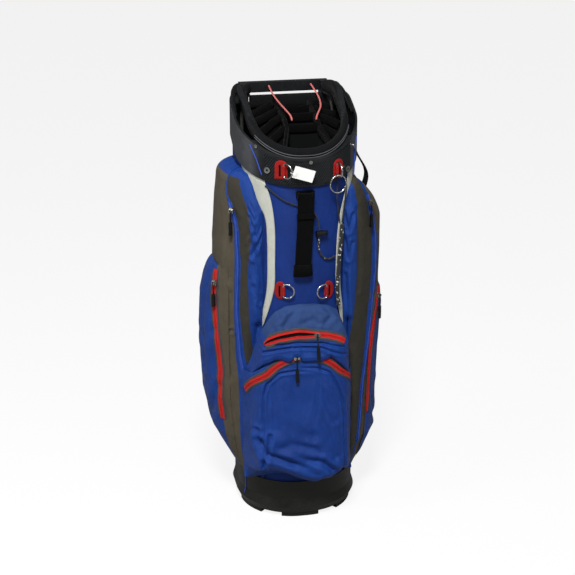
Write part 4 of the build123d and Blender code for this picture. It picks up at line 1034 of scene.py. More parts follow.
RIGHT_TALL = TallPocket(
    Side.RIGHT,
    full=187.0,
    reach=Profile((84, 111, 160, 262, 360, 456, 600, 672, 735), (133, 150, 170, 176, 180, 183, 185, 183, 172)),
    spring=Profile((86, 108, 133, 165, 180), (640, 668, 704, 690, 664)),
    crest=Profile((86, 108, 133, 165, 180), (716, 748, 768, 752, 738)),
    seams=(
        Profile((84, 217, 310, 461, 568, 765), (106, 106, 106, 110, 120, 120)),
        Profile((84, 154, 296, 445, 555, 640, 710, 765), (130, 135, 140, 151, 159, 159, 150, 147)),
        Profile((84, 154, 294, 440, 548, 640, 710, 765), (138, 140, 147, 165, 175, 174, 162, 157)),
    ),
    pouch_top=518.0,
    folds=(
        Fold(((2, 700), (13, 660), (24, 694)), 2.2, 3.8),
        Fold(((4, 640), (13, 598), (22, 632)), 1.8, 4.0),
        Fold(((6, 560), (14, 480), (12, 420)), 1.8, 4.5),
        Fold(((22, 60), (22, 300), (20, 400), (14, 450)), 9.0, 11.0, 0.0),
        Fold(((36, 700), (44, 620), (42, 520)), 1.2, 6.0),
    ),
)
LEFT_HIP = HipPocket(
    LEFT_TALL,
    full=211.0,
    reach=Profile(
        (96, 143, 182, 270, 379, 500, 534, 558, 571, 577),
        (135, 162, 181, 199, 204, 201, 195, 188, 181, 174),
    ),
    zip_at=Profile(
        (96, 160, 217, 273, 345, 393, 450, 499, 541, 588),
        (178, 179, 180, 178, 175, 178, 183, 187, 188, 193),
    ),
    zip_ends=(214.0, 569.0),
    folds=(
        Fold(((70, 560), (84, 470), (86, 330)), 2.2, 10.0),
        Fold(((30, 300), (60, 240), (90, 210)), 1.8, 9.0),
        Fold(((40, 430), (80, 400), (120, 405)), 1.4, 10.0),
    ),
)
RIGHT_HIP = HipPocket(
    RIGHT_TALL,
    full=201.0,
    reach=Profile((96, 111, 160, 262, 360, 456, 496, 510, 518), (144, 158, 183, 184, 188, 193, 190, 186, 180)),
    zip_at=Profile((96, 190, 281, 345, 402, 450, 487, 520), (158, 158, 159, 160, 164, 170, 178, 182)),
    zip_ends=(210.0, 512.0),
    folds=(
        Fold(((60, 480), (70, 400), (66, 300)), 2.0, 9.0),
        Fold(((30, 240), (60, 190), (90, 170)), 1.8, 8.0),
    ),
)


# Front pockets


@dataclass
class BallPocket:
    """Large front pocket for balls, square-shouldered, slack in the middle and sagging at its hem."""

    centre: float = -10.0
    back: float = -88.0
    rows: int = 130
    cols: int = 150
    half: float = 99.0
    edge_half: float = 110.0
    flare: float = 17 / 138
    square: float = 5.2
    foot: float = 98.0
    hem: Profile = Profile(
        (-122, -103, -68, -40, -11, 8, 28, 53, 85, 100),
        (124, 138, 133, 122, 106, 98, 101, 112, 126, 112),
    )
    top: Profile = Profile(
        (-122, -112, -97, -72, -59, -10, 48, 75, 87, 102),
        (353, 371, 390, 403, 408, 421, 406, 380, 364, 345),
    )
    face: Profile = Profile((90, 140, 418), (-182, -178, -153))
    crown: Profile = Profile((0, 4, 12), (0.8, 0.95, 1.0))
    tuck: Profile = Profile((0, 4, 10, 20, 36, 60), (0.66, 0.82, 0.93, 0.985, 1.0, 1.0))
    cloth: Piece | None = field(default=None, init=False)
    folds: tuple[Fold, ...] = (
        Fold(
            ((-104, 210), (-92, 182), (-76, 176), (-55, 168), (-23, 153))
            + ((-5, 149), (14, 160), (30, 155), (54, 134)),
            depth=5.0,
            width=6.5,
        ),
        Fold(((16, 162), (22, 176), (12, 190)), 2.4, 5.0),
        Fold(
            ((-98, 150), (-98, 270), (-96, 316), (-89, 342), (-64, 366), (14, 374))
            + ((48, 360), (66, 326), (76, 296), (81, 250), (82, 140)),
            depth=2.0,
            width=2.4,
        ),
        Fold(((-109, 235), (-104, 190), (-97, 150)), 2.4, 4.5),
        Fold(((-84, 225), (-88, 190), (-96, 160)), 2.4, 4.0),
        Fold(((-5, 345), (18, 280), (42, 220), (60, 165)), 1.8, 8.0),
        Fold(((12, 350), (36, 300), (58, 250)), 1.2, 7.0),
        Fold(((-82, 340), (-74, 290), (-70, 240)), 1.4, 9.0),
        Fold(((-70, 190), (-30, 205), (10, 220)), 1.6, 9.0),
        Fold(((-60, 118), (-20, 104), (30, 112)), 1.6, 5.0),
    )

    def build(self) -> None:
        """Build the pocket's cloth with its hem, seams and folds."""
        u = np.tile(np.linspace(-1, 1, self.cols), (self.rows, 1))
        turn = np.sign(u) * (1 - (1 - np.abs(u)) ** 1.6) * math.pi / 2
        power = 2 / self.square
        wide = np.sign(turn) * np.abs(np.sin(turn)) ** power
        deep = np.abs(np.cos(turn)) ** power
        hem, top = (edge.at(self.centre + self.edge_half * wide) for edge in (self.hem, self.top))
        z = hem + np.linspace(0, 1, self.rows)[:, None] * (top - hem)
        y = self.back + (self.face.at(z) - self.back) * deep * self.tuck.at(z - hem) * self.crown.at(top - z)
        half = self.half + (self.face.at(z) * deep - self.face.sizes[1]) * self.flare
        points = np.dstack([self.centre + half * wide, y, z])
        puff = 2.0 * ripple(points, 48.0, 7.0) + 0.8 * ripple(points, 19.0, 4.0)
        flat = np.dstack([points[..., 0], z])
        front = 1 - ramp(np.abs(wide), 0.985, 1.0)
        for fold in self.folds:
            puff += fold.height(flat) * front
        points += grid_normals(points) * puff[..., None]
        under = []
        for back in (1.0, 0.66, 0.33):
            row = points[0].copy()
            row[:, 1] += back * (self.back - 14 - row[:, 1])
            row[:, 2] += back * (self.foot - row[:, 2])
            under.append(row)
        points = np.vstack([under, points])
        paints = ["nylon_blue"]
        self.cloth = sew("ball_pocket_cloth", points, paints, None, "nylon_blue", "ball_pocket")


@dataclass
class Purse:
    """Domed valuables pocket above the ball pocket, with a rolled brow over the ball zip."""

    centre: float = -10.0
    half: float = 112.0
    rows: int = 100
    cols: int = 130
    edge: Profile = Profile(
        (-122, -112, -100, -95, -86, -75, -65, -44, -16, 18, 50, 71, 85, 94, 102),
        (360, 384, 422, 437, 456, 477, 492, 506, 511, 510, 502, 487, 457, 432, 350),
    )
    brow: Profile = Profile(
        (-122, -112, -97, -72, -62, -52, -44, -36, -32, -18, -13, 0, 30, 40, 50, 75, 87, 102),
        (346, 364, 382, 394, 395, 390, 387, 387, 396, 396, 386, 385, 384, 387, 393, 370, 355, 336),
    )
    seam: Profile = Profile((-122, -98, -63, -22, 20, 47, 77, 102), (418, 436, 447, 452, 448, 444, 434, 416))
    roll: Profile = Profile((0, 3, 8, 16, 26, 40), (-149, -157, -162, -163, -160, -156))
    face: Profile = Profile((-9, 0, 10, 60), (-156.5, -151, -147.5, -131))
    cloth: Piece | None = field(default=None, init=False)
    folds: tuple[Fold, ...] = (
        Fold(((-117, 421), (-79, 431), (-25, 433), (31, 429), (78, 415)), 1.5, 2.2),
        Fold(((-117, 411), (-66, 422), (-25, 424), (31, 418), (84, 396)), 1.6, 2.4),
        Fold(((-70, 458), (-78, 474), (-60, 488)), 1.6, 5.0),
        Fold(((-48, 470), (-30, 492), (-20, 500)), 1.2, 5.0),
        Fold(((40, 470), (56, 482), (46, 497)), 1.4, 5.0),
        Fold(((-10, 472), (14, 478), (24, 470)), 1.0, 5.0),
    )

    def build(self) -> None:
        """Build the pocket's cloth: the brow, the band under its zip and the dome."""
        u = np.linspace(-1, 1, self.cols)
        u = np.tile(np.sign(u) * (1 - (1 - np.abs(u)) ** 1.35), (self.rows, 1))
        x = self.centre + self.half * u
        low, high = self.brow.at(x), self.edge.at(x)
        z = low + np.linspace(0, 1, self.rows)[:, None] * (high - low)
        above = z - self.seam.at(x)
        blend = ramp(above, -18, -6)
        face = self.roll.at(z - low) * (1 - blend) + self.face.at(above) * blend
        back = np.minimum(PLAN.front_y(np.clip(x, -118, 118), 1.5), -84)
        plump = (1 - np.abs(u) ** 6) ** (1 / 2.2)
        closing = ramp(high - z, 0, 14)
        y = back + (np.minimum(face, back - 3) - back) * plump * (0.12 + 0.88 * closing)
        points = np.dstack([x, y, z])
        puff = 0.9 * ripple(points, 40.0, 11.0) + 0.5 * ripple(points, 18.0, 6.0)
        for fold in self.folds:
            puff += fold.height(np.dstack([x, z]))
        points += grid_normals(points) * (puff * closing)[..., None]
        # The dome above the seam gets the paler blue, a painted highlight where light falls from above; the brow
        # and band keep the plain blue.
        slots = np.where(above > 4, 0, 1)[:-1, :-1].ravel()
        paints = ["nylon_blue_worn", "nylon_blue"]
        node, onto = "valuables_pocket", "front_panel"
        self.cloth = sew("purse_cloth", points, paints, slots, "nylon_blue", node)


# Zips


@dataclass
class Zip:
    """A coil zip sewn along a line on cloth: two tapes with dark edges, and a gap where it is open, whose floor is
    painted with the dark lining as painted shade.
    """

    name: str
    node: str
    line: np.ndarray
    onto: BVHTree
    paints: tuple[str, ...] = ("zip_edge", "zip_red", "zip_teeth", "lining")
    half_red: float = 6.0
    half_edge: float = 11.6
    gap: Callable[[float], float] = lambda t: 0.0
    pitch: float = 2.6
    window: int = 9

    def nearest(self, point: np.ndarray) -> tuple[np.ndarray, np.ndarray]:
        """Place on the cloth nearest to a point, and the cloth's outward direction there."""
        spot, normal, _, _ = self.onto.find_nearest(Vector(point * MM))
        normal = np.array(normal)
        outward = normal[0] * point[0] + normal[1] * point[1]
        return np.array(spot) / MM, normal if outward >= 0 else -normal

    def smooth(self, values: Sequence[np.ndarray]) -> np.ndarray:
        """Running mean of places or directions along the zip."""
        reach = self.window // 2
        padded = np.pad(np.array(values), ((reach, reach), (0, 0)), mode="edge")
        mean = np.ones(self.window) / self.window
        return np.stack([np.convolve(padded[:, k], mean, mode="valid") for k in range(3)], axis=1)

    def build(self) -> None:
        """Lay the zip on the cloth."""
        length = float(np.linalg.norm(np.diff(self.line, axis=0), axis=1).sum())
        line = resample(self.line, max(int(length / self.pitch * 2), 40))
        spots, outs = (self.smooth(values) for values in zip(*(self.nearest(p) for p in line)))
        outs /= np.linalg.norm(outs, axis=1)[:, None]
        ahead = np.gradient(spots, axis=0)
        ahead /= np.linalg.norm(ahead, axis=1)[:, None]
        sides = np.cross(outs, ahead)
        edge, red = self.half_edge, self.half_red
        rows = []
        for i, (spot, out, side) in enumerate(zip(spots, outs, sides)):
            wide = self.gap(i / (len(line) - 1))
            tooth = 0.4 if i % 2 else 0.0
            steps = [(edge, -0.4), (edge - 0.8, 1.0), (red + 0.3, 1.6), (red, 1.3), (2.0, 1.7)]
            steps += [(1.5, 2.1 + tooth), (0.5, 2.2 + tooth), (0.35, 1.5)]
            low = [self.nearest(spot - side * (a + wide))[0] + out * b for a, b in steps]
            high = [self.nearest(spot + side * (a + wide))[0] + out * b for a, b in steps[::-1]]
            rows.append([*low, spot + out * 0.9, *high])
        slots = []
        for i in range(len(rows) - 1):
            # Where the zip gapes, its floor is painted with the dark lining: the lining's own colour with painted
            # shade of the hollow pocket behind.
            floor = 3 if self.gap(i / (len(rows) - 1)) > 0.3 else 2
            slots += [0, 0, 0, 1, 1, 1, 2, floor, floor, 2, 1, 1, 1, 0, 0, 0]
        faces = grid_faces(len(rows), len(rows[0]))
        tape = add_mesh(self.name, np.array(rows), faces, self.paints, slots)
        settle(tape, "red_tape", self.node)


def arc_line(radius: float, apex: float, half: float, y: float, centre: float = -10.0) -> np.ndarray:
    """Arched line across the front, from its left end to its right end."""
    turn = np.radians(np.linspace(-half, half, 60))
    return np.stack([centre + radius * np.sin(turn), np.full(60, y), apex - radius * (1 - np.cos(turn))], axis=1)


@dataclass
class Zips:
    """All six zips, laid on the finished pockets."""

    ball: BallPocket
    purse: Purse
    tall: Sequence[TallPocket]
    hip: Sequence[HipPocket]
    welt_ends: tuple[float, float] = (150, 728)

    def build(self) -> None:
        """Lay each zip on its pocket."""
        left_end = [(-121, -100, 312), (-117, -122, 332), (-108, -143, 350)]
        right_end = [(88, -143, 348), (97, -120, 330)]
        ball_line = np.vstack([left_end, arc_line(107, 401, 50, -160)[2:-2], right_end])
        Zip("ball_zip_tape", "ball_zip", flow(ball_line, 3), bvh_of(self.ball.cloth)).build()
        x = np.linspace(-103, 86, 80)
        purse_line = np.column_stack([x, np.full(80, -152.0), self.purse.seam.at(x)])
        gape = Profile((0, 0.05, 0.3, 0.5, 0.63, 0.66, 1), (0.2, 1.6, 3.2, 3.0, 1.0, 0, 0))
        Zip("purse_zip_tape", "valuables_zip", purse_line, bvh_of(self.purse.cloth), gap=gape.at).build()
        blue = ("nylon_blue", "piping_blue", "nylon_blue", "lining")
        for pocket in self.tall:
            height = pocket.welt[:, 2]
            line = pocket.welt[(height > self.welt_ends[0]) & (height < self.welt_ends[1])]
            name = f"{pocket.side.word}_tall_zip_tape"
            Zip(name, "apparel_zips", line, bvh_of(pocket.cloth), blue, half_red=2.8, half_edge=5.4).build()
        for pocket in self.hip:
            name = f"{pocket.tall.side.word}_hip_zip_tape"
            Zip(name, "accessory_zips", pocket.zip_line, bvh_of(pocket.cloth)).build()


# Collar and mouth


@dataclass
class Mouth:
    """The padded lip with its welts, moulded grabs, ears, piping and dividers."""

    half: float = 108.0
    front: float = 125.7
    rear: float = 113.7
    front_radius: float = 100.0
    rear_radius: float = 55.0
    handle_half: float = 80.0
    bore: Plan = Plan(91.8, 109.5, 97.5, 83.8, 38.8)
    lip: float = 15.0
    drop: float = 9.0
    rear_pad: Point = (79, 105.0, 896.2)
    piping_lift: float = 5.6
    wall_foot: float = 46.0
    wall_top: Profile = Profile((-150, 0, 150), (815, 884, 905))

    def ring(self, inset: float) -> np.ndarray:
        """Lip plan line at an inset, from one rear end round the front to the other."""
        sizes = (self.half, self.front, self.rear, self.front_radius, self.rear_radius)
        half = Plan(*(size - inset for size in sizes)).outline()
        half = half[: int(np.argmax((half[:, 1] > 0) & (half[:, 0] < self.handle_half)))]
        return np.vstack([half[::-1] * [-1, 1], half[1:]])

    def inside(self, x: float, y: float) -> bool:
        """Whether a point in plan is inside the lip."""
        half, front, rear, fr, rr = astuple(self.bore)
        x = abs(x)
        if y < fr - front and x > half - fr:
            return math.hypot(x - half + fr, y + front - fr) < fr
        if y > rear - rr and x > half - rr:
            return math.hypot(x - half + rr, y - rear + rr) < rr
        return x < half and -front < y < rear

    def raise_line(self, plan: np.ndarray, drop: float) -> np.ndarray:
        """Plan line lifted to a drop below the rim."""
        return np.column_stack([plan, rim_height(plan[:, 1]) - drop])

    def build(self) -> None:
        """Build the lip, the pad before the handle, and everything round them."""
        line = self.raise_line(resample(self.ring(self.lip / 2), 150), self.drop)
        lip = sweep("mouth_lip", line, lambda t: oblong(self.lip / 2 + 0.6, self.drop + 2.5, 2.6), "mesh_pad")
        rounded(lip)
        settle_padded(lip, "lip_black", "collar_lip")
        for index, drop in enumerate((5.0, 10.0)):
            welt_line = self.raise_line(resample(self.ring(-1.0), 150), drop)[46:-42]
            settle(tube(f"lip_welt_{index}", welt_line, 0.9, "binding"), "lip_black")
        x, y, z = self.rear_pad
        rear_line = np.linspace((-x, y, z), (x, y, z), 60)
        pad = sweep("rear_mouth_pad", rear_line, lambda t: oblong(6.2, 14.2, 3.0), "mesh_pad")
        settle_padded(pad, "lip_black", "collar_lip")
        self.piping()
        for side in Side:
            self.grab(side)
            self.ear(side)
        self.walls()

    def piping(self) -> None:
        """Lay blue piping down the collar's front corners and up the base's left side."""
        corners = {
            "left_collar_piping": ((-109, 850), (-98, 822), (-88, 790)),
            "right_collar_piping": ((120, 852), (116, 822), (114, 790), (112, 772)),
        }
        runs = {name: front_route(spots, self.piping_lift) for name, spots in corners.items()}
        base = bvh_of(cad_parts["base_cup"])
        found = [base.find_nearest(Vector((-0.14, -0.06, z * MM)))[0] for z in (84, 66, 48, 38)]
        runs["base_piping"] = [np.array(spot) / MM + (-0.6, -0.4, 0) for spot in found]
        for name, run in runs.items():
            settle(tube(name, flow(run, 10), 1.3, "piping_blue", up=FORWARD), "nylon_blue")

    def grab(self, side: Side) -> None:
        """Build one moulded grab on the lip's outer edge, ribbed at its front."""
        s = side.value
        stations = [(s * 104, 84, 938), (s * 107, 60, 931), (s * 104, 20, 917)]
        stations += [(s * 100, -20, 899), (s * 92, -58, 877), (s * 84, -76, 866)]
        line = resample(flow(stations, 12), 90)

        def section(t: float) -> np.ndarray:
            ribs = 0.5 * math.sin(t * 90 * 1.35) if 0.62 < t < 0.95 else 0.0
            ends = math.sqrt(max(1 - abs(2 * t - 1) ** 9, 0.02))
            return oblong((6.2 + ribs) * ends, (4.6 + ribs) * ends, 3.2)

        settle(sweep(f"{side.word}_mouth_grab", line, section, "grab_grey"), "collar_black")

    def ear(self, side: Side) -> None:
        """Build the padded ear that leads from the handle down to the collar's rim."""
        s = side.value
        stations = [(s * 90, 131, 922), (s * 104, 116, 926), (s * 116, 88, 922)]
        stations += [(s * 122, 56, 911), (s * 125, 24, 899), (s * 126, 0, 890)]
        line = resample(flow(stations, 12), 60)

        def section(t: float) -> np.ndarray:
            return oblong(6.5 - 2.5 * t, 9.0 - 5.0 * t, 2.6, 16)

        settle_padded(sweep(f"{side.word}_mouth_ear", line, section, "mesh_pad"), "lip_black")

    def walls(self) -> None:
        """Build the soft dividers with their padded tops."""
        runs = [[(-21, 96), (-21, -26), (-43, -105)], [(49, 96), (49, -26), (71, -105)]]
        runs += [[(-21, y), (49, y)] for y in (-20, 25, 68)]
        side_runs = []
        for x, way in ((-27, -1), (55, 1)):
            side_runs += [[(x, y), (x + way * 90, y - 90)] for y in (-22, 20, 62, 104)]
        for name, group in (("centre_divider", runs), ("side_divider", side_runs)):
            for index, run in enumerate(group):
                self.wall(f"{name}_{index}", f"{name}s", run)

    def wall(self, name: str, node: str, run: Sequence[Point]) -> None:
        """Build one divider and the pad on its top."""
        plan = [p for p in resample(run, 160) if self.inside(*p)]
        if len(plan) < 8:
            return
        plan = resample(plan, 40)
        top = self.wall_top.at(plan[:, 1])
        sag = 1.5 * np.sin(np.linspace(0, math.pi, len(plan)))
        line = np.column_stack([plan, top - 10 - sag])
        pad = sweep(f"{name}_pad", line, lambda t: oblong(5.0, 10.0, 2.6, 16), "plush")
        settle_padded(pad, "divider_black", node, give=0.7)
        foot = np.full(len(plan), self.wall_foot)
        rows = [np.column_stack([plan, foot]), np.column_stack([plan, top - 12])]
        sheet = add_mesh(f"{name}_cloth", np.array(rows), grid_faces(2, len(plan)), ["lining"])
        thicken(sheet, 1.6)
        settle(sheet, "divider_black", node)


# Fittings, straps and cords


@dataclass(frozen=True)
class Tab:
    """A red patch with a slot, painted dark as painted shade rather than cut, and a roll that holds a D-ring."""

    name: str
    x: float
    z: float
    lift: float
    inward: int
    upright: bool
    width: float = 27.0
    height: float = 40.0

    def halves(self, t: float) -> tuple[float, float]:
        """Reach of the patch to its left and right at a share of its height, from -1 to 1."""
        half = self.width / 2
        if self.upright:
            wide = half * math.sqrt(max(1 - max(0.0, (t - 0.3) / 0.7) ** 2.4, 0.04))
            return wide, wide
        round_side = half * math.sqrt(max(1 - abs(t) ** 2.2, 0.05))
        plain_side = half * 0.72 * max(1 - abs(t) ** 6, 0.3)
        return (round_side, plain_side) if self.inward > 0 else (plain_side, round_side)

    def build(self) -> None:
        """Build the patch, its painted-shade slot and the roll."""
        out = PLAN.normal(self.x)
        side = np.array([-out[1], out[0], 0.0])
        up = np.array([0.0, 0.0, 1.0])
        middle = PLAN.on_front(self.x, self.z, self.lift)
        rows, cols = 26, 19
        points = []
        for t in np.linspace(-1, 1, rows):
            left, right = self.halves(t)
            for k in np.linspace(-1, 1, cols):
                edge = (1 - abs(k) ** 8) * (1 - abs(t) ** 12)
                level = middle + side * k * (right if k > 0 else left) + up * t * self.height / 2
                points.append(level + out * (0.4 + 1.8 * edge))
        # The slot is no opening: a strip of faces painted with the dark lining, as painted shade.
        shaded_slot_columns = range(6, 9) if self.inward > 0 else range(9, 12)
        slots = [int(c in shaded_slot_columns and 3 < r < 19) for r in range(rows - 1) for c in range(cols - 1)]
        faces = grid_faces(rows, cols)
        patch = add_mesh(f"{self.name}_patch", np.array(points), faces, ["web_red", "lining"], slots)
        settle(patch, "red_web", "webbing_tabs")
        roll_middle = middle + side * self.inward * 7 + out * 5.3
        line = roll_middle + up * np.linspace(-9.2, 9.2, 24)[:, None]
        roll = sweep(f"{self.name}_roll", line, lambda t: oblong(3.7, 3.7, 2.4, 16), "web_red", FORWARD)
        settle_padded(roll, "red_web", "webbing_tabs", give=0.9)


TABS = (
    Tab("upper_left_tab", -52, 806, 6.6, 1, True),
    Tab("upper_right_tab", 69, 801, 6.6, -1, True),
    Tab("lower_left_tab", -52, 541, 0.6, 1, False),
    Tab("lower_right_tab", 50, 536, 0.6, -1, False),
)


@dataclass
class TowelStrap:
    """Black webbing strap that hangs on the front, with a keeper and an open cup at its end."""

    x: float = -2.0
    top: float = 752.0
    length: float = 176.0
    stand: float = 9.0
    keeper: tuple[float, float] = (712, 701)

    def build(self) -> None:
        """Build the webbing, the keeper and the cup."""
        y = float(PLAN.front_y(self.x)) - self.stand
        body = "towel_strap_body"
        z = np.linspace(self.top + 4, self.top - self.length + 22, 60)
        bow = 1.2 * np.sin((self.top - z) / 30) * ramp(self.top - z, 15, 60)
        line = np.column_stack([np.full(60, self.x) - 6.0 * ramp(self.top - z, 30, 176), y + bow, z])
        web = sweep("towel_webbing", line, lambda t: oblong(17.3, 1.7, 7.0, 28), "web_black", FORWARD)
        settle(web, "strap_black", "towel_strap", body=body)
        keeper_line = np.linspace(*((self.x, y, height) for height in self.keeper), 10)
        section = oblong(19.0, 3.4, 6.0, 28)
        keeper = sweep("towel_keeper", keeper_line, lambda t: section, "web_black", FORWARD)
        settle_padded(keeper, "strap_black", body=body)
        turn = np.linspace(0, 2 * math.pi, 33)[:-1]
        rows = []
        end = self.top - self.length
        for height, grow in ((end + 25, 0.0), (end + 12, 1.0), (end, 1.8)):
            across = self.x - 5.5 + (18.5 + grow * 0.5) * np.cos(turn)
            rows.append(np.column_stack([across, y + (3.4 + grow) * np.sin(turn), np.full(32, height)]))
        cup = add_mesh("towel_cup", np.array(rows), grid_faces(3, 32, wrap=True), ["web_black"])
        thicken(cup, 1.4)
        settle(cup, "strap_black", "strap_sleeve", body=body)
        paint_node("strap_anchor", "web_black")


@dataclass
class CarryStrap:
    """Padded shoulder strap behind the right pocket, on webbing."""

    middle: float = 105.0

    def build(self) -> None:
        """Build the pad and its webbing."""
        pad_line = self.lift(flow([(166, 664), (171, 570), (170, 470), (163, 370), (152, 270)], 16))

        def section(t: float) -> np.ndarray:
            return oblong(20.6 * self.taper(t), 6.2, 3.6, 24)

        pad = sweep("carry_pad", pad_line, section, "mesh_pad", RIGHTWARD)
        rounded(pad)
        settle_padded(pad, "strap_black", "shoulder_strap")
        upper = [(92, 884), (132, 842), (158, 776), (184, 722), (168, 666), (167, 654)]
        lower = [(154, 280), (152, 269), (144, 190), (88, 107)]
        for index, run in enumerate((upper, lower)):
            line = self.lift(flow(run, 16))
            web = sweep(f"carry_web_{index}", line, lambda t: oblong(18.0, 1.3, 6.0, 20), "web_black", RIGHTWARD)
            settle(web, "strap_black", "shoulder_strap_web")

    def lift(self, run: np.ndarray) -> np.ndarray:
        """Line seen from the front, set at the strap's depth."""
        return np.column_stack([run[:, 0], np.full(len(run), self.middle), run[:, 1]])

    @staticmethod
    def taper(t: float) -> float:
        """Width of the pad along its length."""
        return 0.86 + 0.14 * min(1.0, 8 * min(t, 1 - t))


@dataclass(frozen=True)
class Cord:
    """A free cord along a route, with what holds its ends."""

    name: str
    node: str
    route: tuple[Point, ...]
    diameter: float
    paint: str
    slot: str
    far_end: str
    stiffness: str = "limp"
    lay: str = "hanging"
    held: tuple[str, ...] = ()

    def length(self) -> float:
        """Length of the route, leg by leg."""
        return float(np.linalg.norm(np.diff(np.array(self.route, dtype=float), axis=0), axis=1).sum())

    def build(self) -> None:
        """Build the cord as a smooth curve with a round section."""
        curve = bpy.data.curves.new(self.name, "CURVE")
        curve.dimensions = "3D"
        curve.bevel_depth = self.diameter / 2 * MM
        curve.bevel_resolution = 4
        curve.resolution_u = 12
        curve.use_fill_caps = True
        spline = curve.splines.new("NURBS")
        spline.points.add(len(self.route) - 1)
        for point, spot in zip(spline.points, self.route):
            point.co = (*(float(v) * MM for v in spot), 1.0)
        spline.order_u = 3
        spline.use_endpoint_u = True
        curve.materials.append(PAINT[self.paint])
        cord = bpy.data.objects.new(self.name, curve)
        bpy.context.scene.collection.objects.link(cord)
        settle(cord, self.slot, self.node)
        self.length() * MM


BLACK_CORD = {"diameter": 3.0, "paint": "cord_black", "slot": "black_cord"}
RED_CORD = {"diameter": 3.6, "paint": "cord_red", "slot": "red_cord", "far_end": "object", "lay": "loose"}
FLECKED_CORD = {"paint": "cord_flecked", "slot": "rope_speckled", "far_end": "bare"}
CORDS = (
    Cord(
        "drawcord_line",
        "drawcord",
        front_route(
            ((-82, 768), (-67, 755), (-52, 743), (-34, 733), (-14, 727), (4, 722), (18, 711))
            + ((26, 695, 5.35), (28, 673.3, 7.5))
        ),
        **BLACK_CORD,
        far_end="fitting",
        held=("cord_lock_body",),
    ),
    Cord(
        "drawcord_tail_line",
        "drawcord_tail",
        front_route(((28, 660.7, 7.5), (26, 643, 5.35), (28, 626), (37, 611), (51, 604), (64, 608))),
        4.0,
        **FLECKED_CORD,
    ),
    Cord(
        "lanyard_outer_strand",
        "lanyard_strands",
        front_route(((92, 772), (92, 742), (87, 712), (82, 680))),
        **BLACK_CORD,
        far_end="object",
    ),
    Cord(
        "lanyard_inner_strand",
        "lanyard_strands",
        front_route(((70, 772), (68, 742), (71, 712), (76, 680))),
        **BLACK_CORD,
        far_end="object",
    ),
    Cord(
        "lanyard_rope_line",
        "lanyard_rope",
        front_route(((81, 676), (79, 640), (75, 604), (73, 568), (70, 532), (75, 497)), lift=6.2),
        9.0,
        **FLECKED_CORD,
    ),
    Cord(
        "left_red_cord",
        "red_cords",
        ((-33, 124, 925), (-32, 106, 919), (-29, 82, 911), (-24, 52, 904))
        + ((-18, 24, 898), (-12, 0, 892), (-9, -13, 887), (-9, -19, 881)),
        **RED_CORD,
    ),
    Cord(
        "right_red_cord",
        "red_cords",
        ((60, 124, 925), (63, 106, 919), (66, 82, 912), (66, 52, 905))
        + ((62, 24, 899), (52, 0, 893), (45, -13, 887), (43, -19, 881)),
        **RED_CORD,
    ),
)


# Rigid pieces and the studio

NODE_PAINT = {
    "base_cup": "base_black",
    "bottom_pad": "foam",
    "stay_rods": "rod_grey",
    "collar_shell": "collar_black",
    "rear_handle": "handle_black",
    "collar_front_panel": "rib_sheet",
    "collar_rivets": "nickel",
    "hood_studs": "nickel",
    "tag_loop": "card",
    "hang_tag": "card",
    "cord_lock_body": "plastic_black",
    "cord_lock_plunger": "plastic_black",
    "strap_slide": "plastic_black",
}
ENDING_PAINT = {"_slider": "nickel", "_pull": "plastic_black", "_ring": "nickel"}


def paint_rigid() -> None:
    """Give every rigid CAD node its finish, by its name or its name's ending."""
    chosen = dict(NODE_PAINT)
    for ending, paint in ENDING_PAINT.items():
        chosen.update({node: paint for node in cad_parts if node.endswith(ending)})
    for node, paint in chosen.items():
        paint_node(node, paint)
    log.info("painted %d rigid nodes", len(chosen))


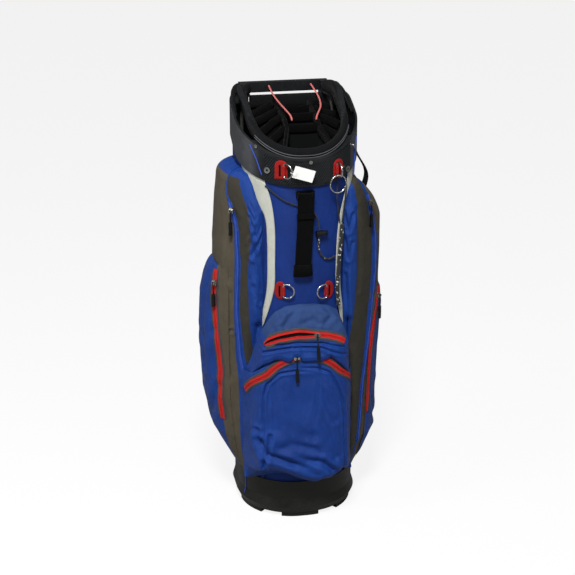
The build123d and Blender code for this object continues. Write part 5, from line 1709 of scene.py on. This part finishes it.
@dataclass
class Studio:
    """White floor, soft lights and the camera."""

    eye: Point = (-0.5591, -2.8762, 1.6)
    aim: Point = (-0.015, 0.0, 0.501)
    lens: float = 88.97
    sky: float = 0.16
    floor_shade: float = 0.34
    floor_seen: float = 0.9
    floor_glow: float = 0.86
    floor_half: float = 12.0
    lights: tuple[tuple[str, Point, float, float], ...] = (
        ("key", (-0.55, -1.9, 3.1), 0.7, 122.0),
        ("window", (-2.4, -0.9, 1.6), 0.8, 20.0),
        ("fill", (1.8, -2.4, 1.2), 1.2, 8.0),
    )

    def build(self) -> None:
        """Set the stage round the bag."""
        scene = bpy.context.scene
        scene.view_settings.view_transform = "Standard"
        camera = bpy.data.objects.new("camera", bpy.data.cameras.new("camera"))
        camera.data.lens = self.lens
        camera.data.sensor_width = 36
        self.hang(camera, self.eye)
        scene.camera = camera
        self.floor()
        for lamp in self.lights:
            self.light(*lamp)
        world = bpy.data.worlds.new("studio")
        world.use_nodes = True
        g = Graph(world.node_tree)
        sky = g.add("ShaderNodeBackground", {"Color": self.grey(1.0), "Strength": self.sky})
        backdrop = g.add("ShaderNodeBackground", {"Color": self.grey(1.0), "Strength": 1.0})
        g.add("ShaderNodeOutputWorld", {"Surface": self.for_camera(g, sky, backdrop).outputs[0]})
        scene.world = world

    @staticmethod
    def grey(level: float) -> tuple[float, float, float, float]:
        """A grey as Blender's sockets take it."""
        return (level, level, level, 1.0)

    @staticmethod
    def for_camera(g: Graph, other: bpy.types.Node, seen: bpy.types.Node) -> bpy.types.Node:
        """A shader for what the camera sees, mixed with another for the light that reaches the bag."""
        rays = g.add("ShaderNodeLightPath").outputs
        return g.add("ShaderNodeMixShader", {0: rays["Is Camera Ray"], 1: other.outputs[0], 2: seen.outputs[0]})

    def hang(self, piece: Piece, at: Point) -> None:
        """Put a camera or a light at a place, aimed at the bag."""
        piece.location = at
        piece.rotation_euler = (Vector(self.aim) - Vector(at)).to_track_quat("-Z", "Y").to_euler()
        bpy.context.scene.collection.objects.link(piece)

    def floor(self) -> None:
        """Lay a white floor that keeps the bag's shadow."""
        material, g = start_material("floor_white")
        dim = g.add("ShaderNodeBsdfDiffuse", {"Color": self.grey(self.floor_shade)})
        pale = g.add("ShaderNodeBsdfDiffuse", {"Color": self.grey(self.floor_seen)})
        white = g.add("ShaderNodeEmission", {"Color": self.grey(1.0), "Strength": 1.0})
        seen = g.add("ShaderNodeMixShader", {0: self.floor_glow, 1: pale.outputs[0], 2: white.outputs[0]})
        close_material(g, self.for_camera(g, dim, seen))
        mesh = bpy.data.meshes.new("floor")
        w = self.floor_half
        mesh.from_pydata([(-w, -w, 0), (w, -w, 0), (w, w, 0), (-w, w, 0)], [], [(0, 1, 2, 3)])
        mesh.materials.append(material)
        floor = bpy.data.objects.new("floor", mesh)
        bpy.context.scene.collection.objects.link(floor)

    def light(self, name: str, at: Point, size: float, power: float) -> None:
        """Hang one soft square light aimed at the bag."""
        lamp = bpy.data.lights.new(name, "AREA")
        lamp.size = size
        lamp.energy = power
        self.hang(bpy.data.objects.new(name, lamp), at)


def main() -> None:
    """Dress the whole bag."""
    logging.basicConfig(level=logging.INFO, format="%(name)s: %(message)s")
    mix_paint()
    paint_rigid()
    Sleeve().build()
    tall, hip = (LEFT_TALL, RIGHT_TALL), (LEFT_HIP, RIGHT_HIP)
    ball, purse = BallPocket(), Purse()
    for pocket in (*tall, *hip, ball, purse):
        pocket.build()
    Zips(ball, purse, tall, hip).build()
    Mouth().build()
    for tab in TABS:
        tab.build()
    TowelStrap().build()
    CarryStrap().build()
    for cord in CORDS:
        cord.build()
    Studio().build()


if __name__ == "__main__":
    main()
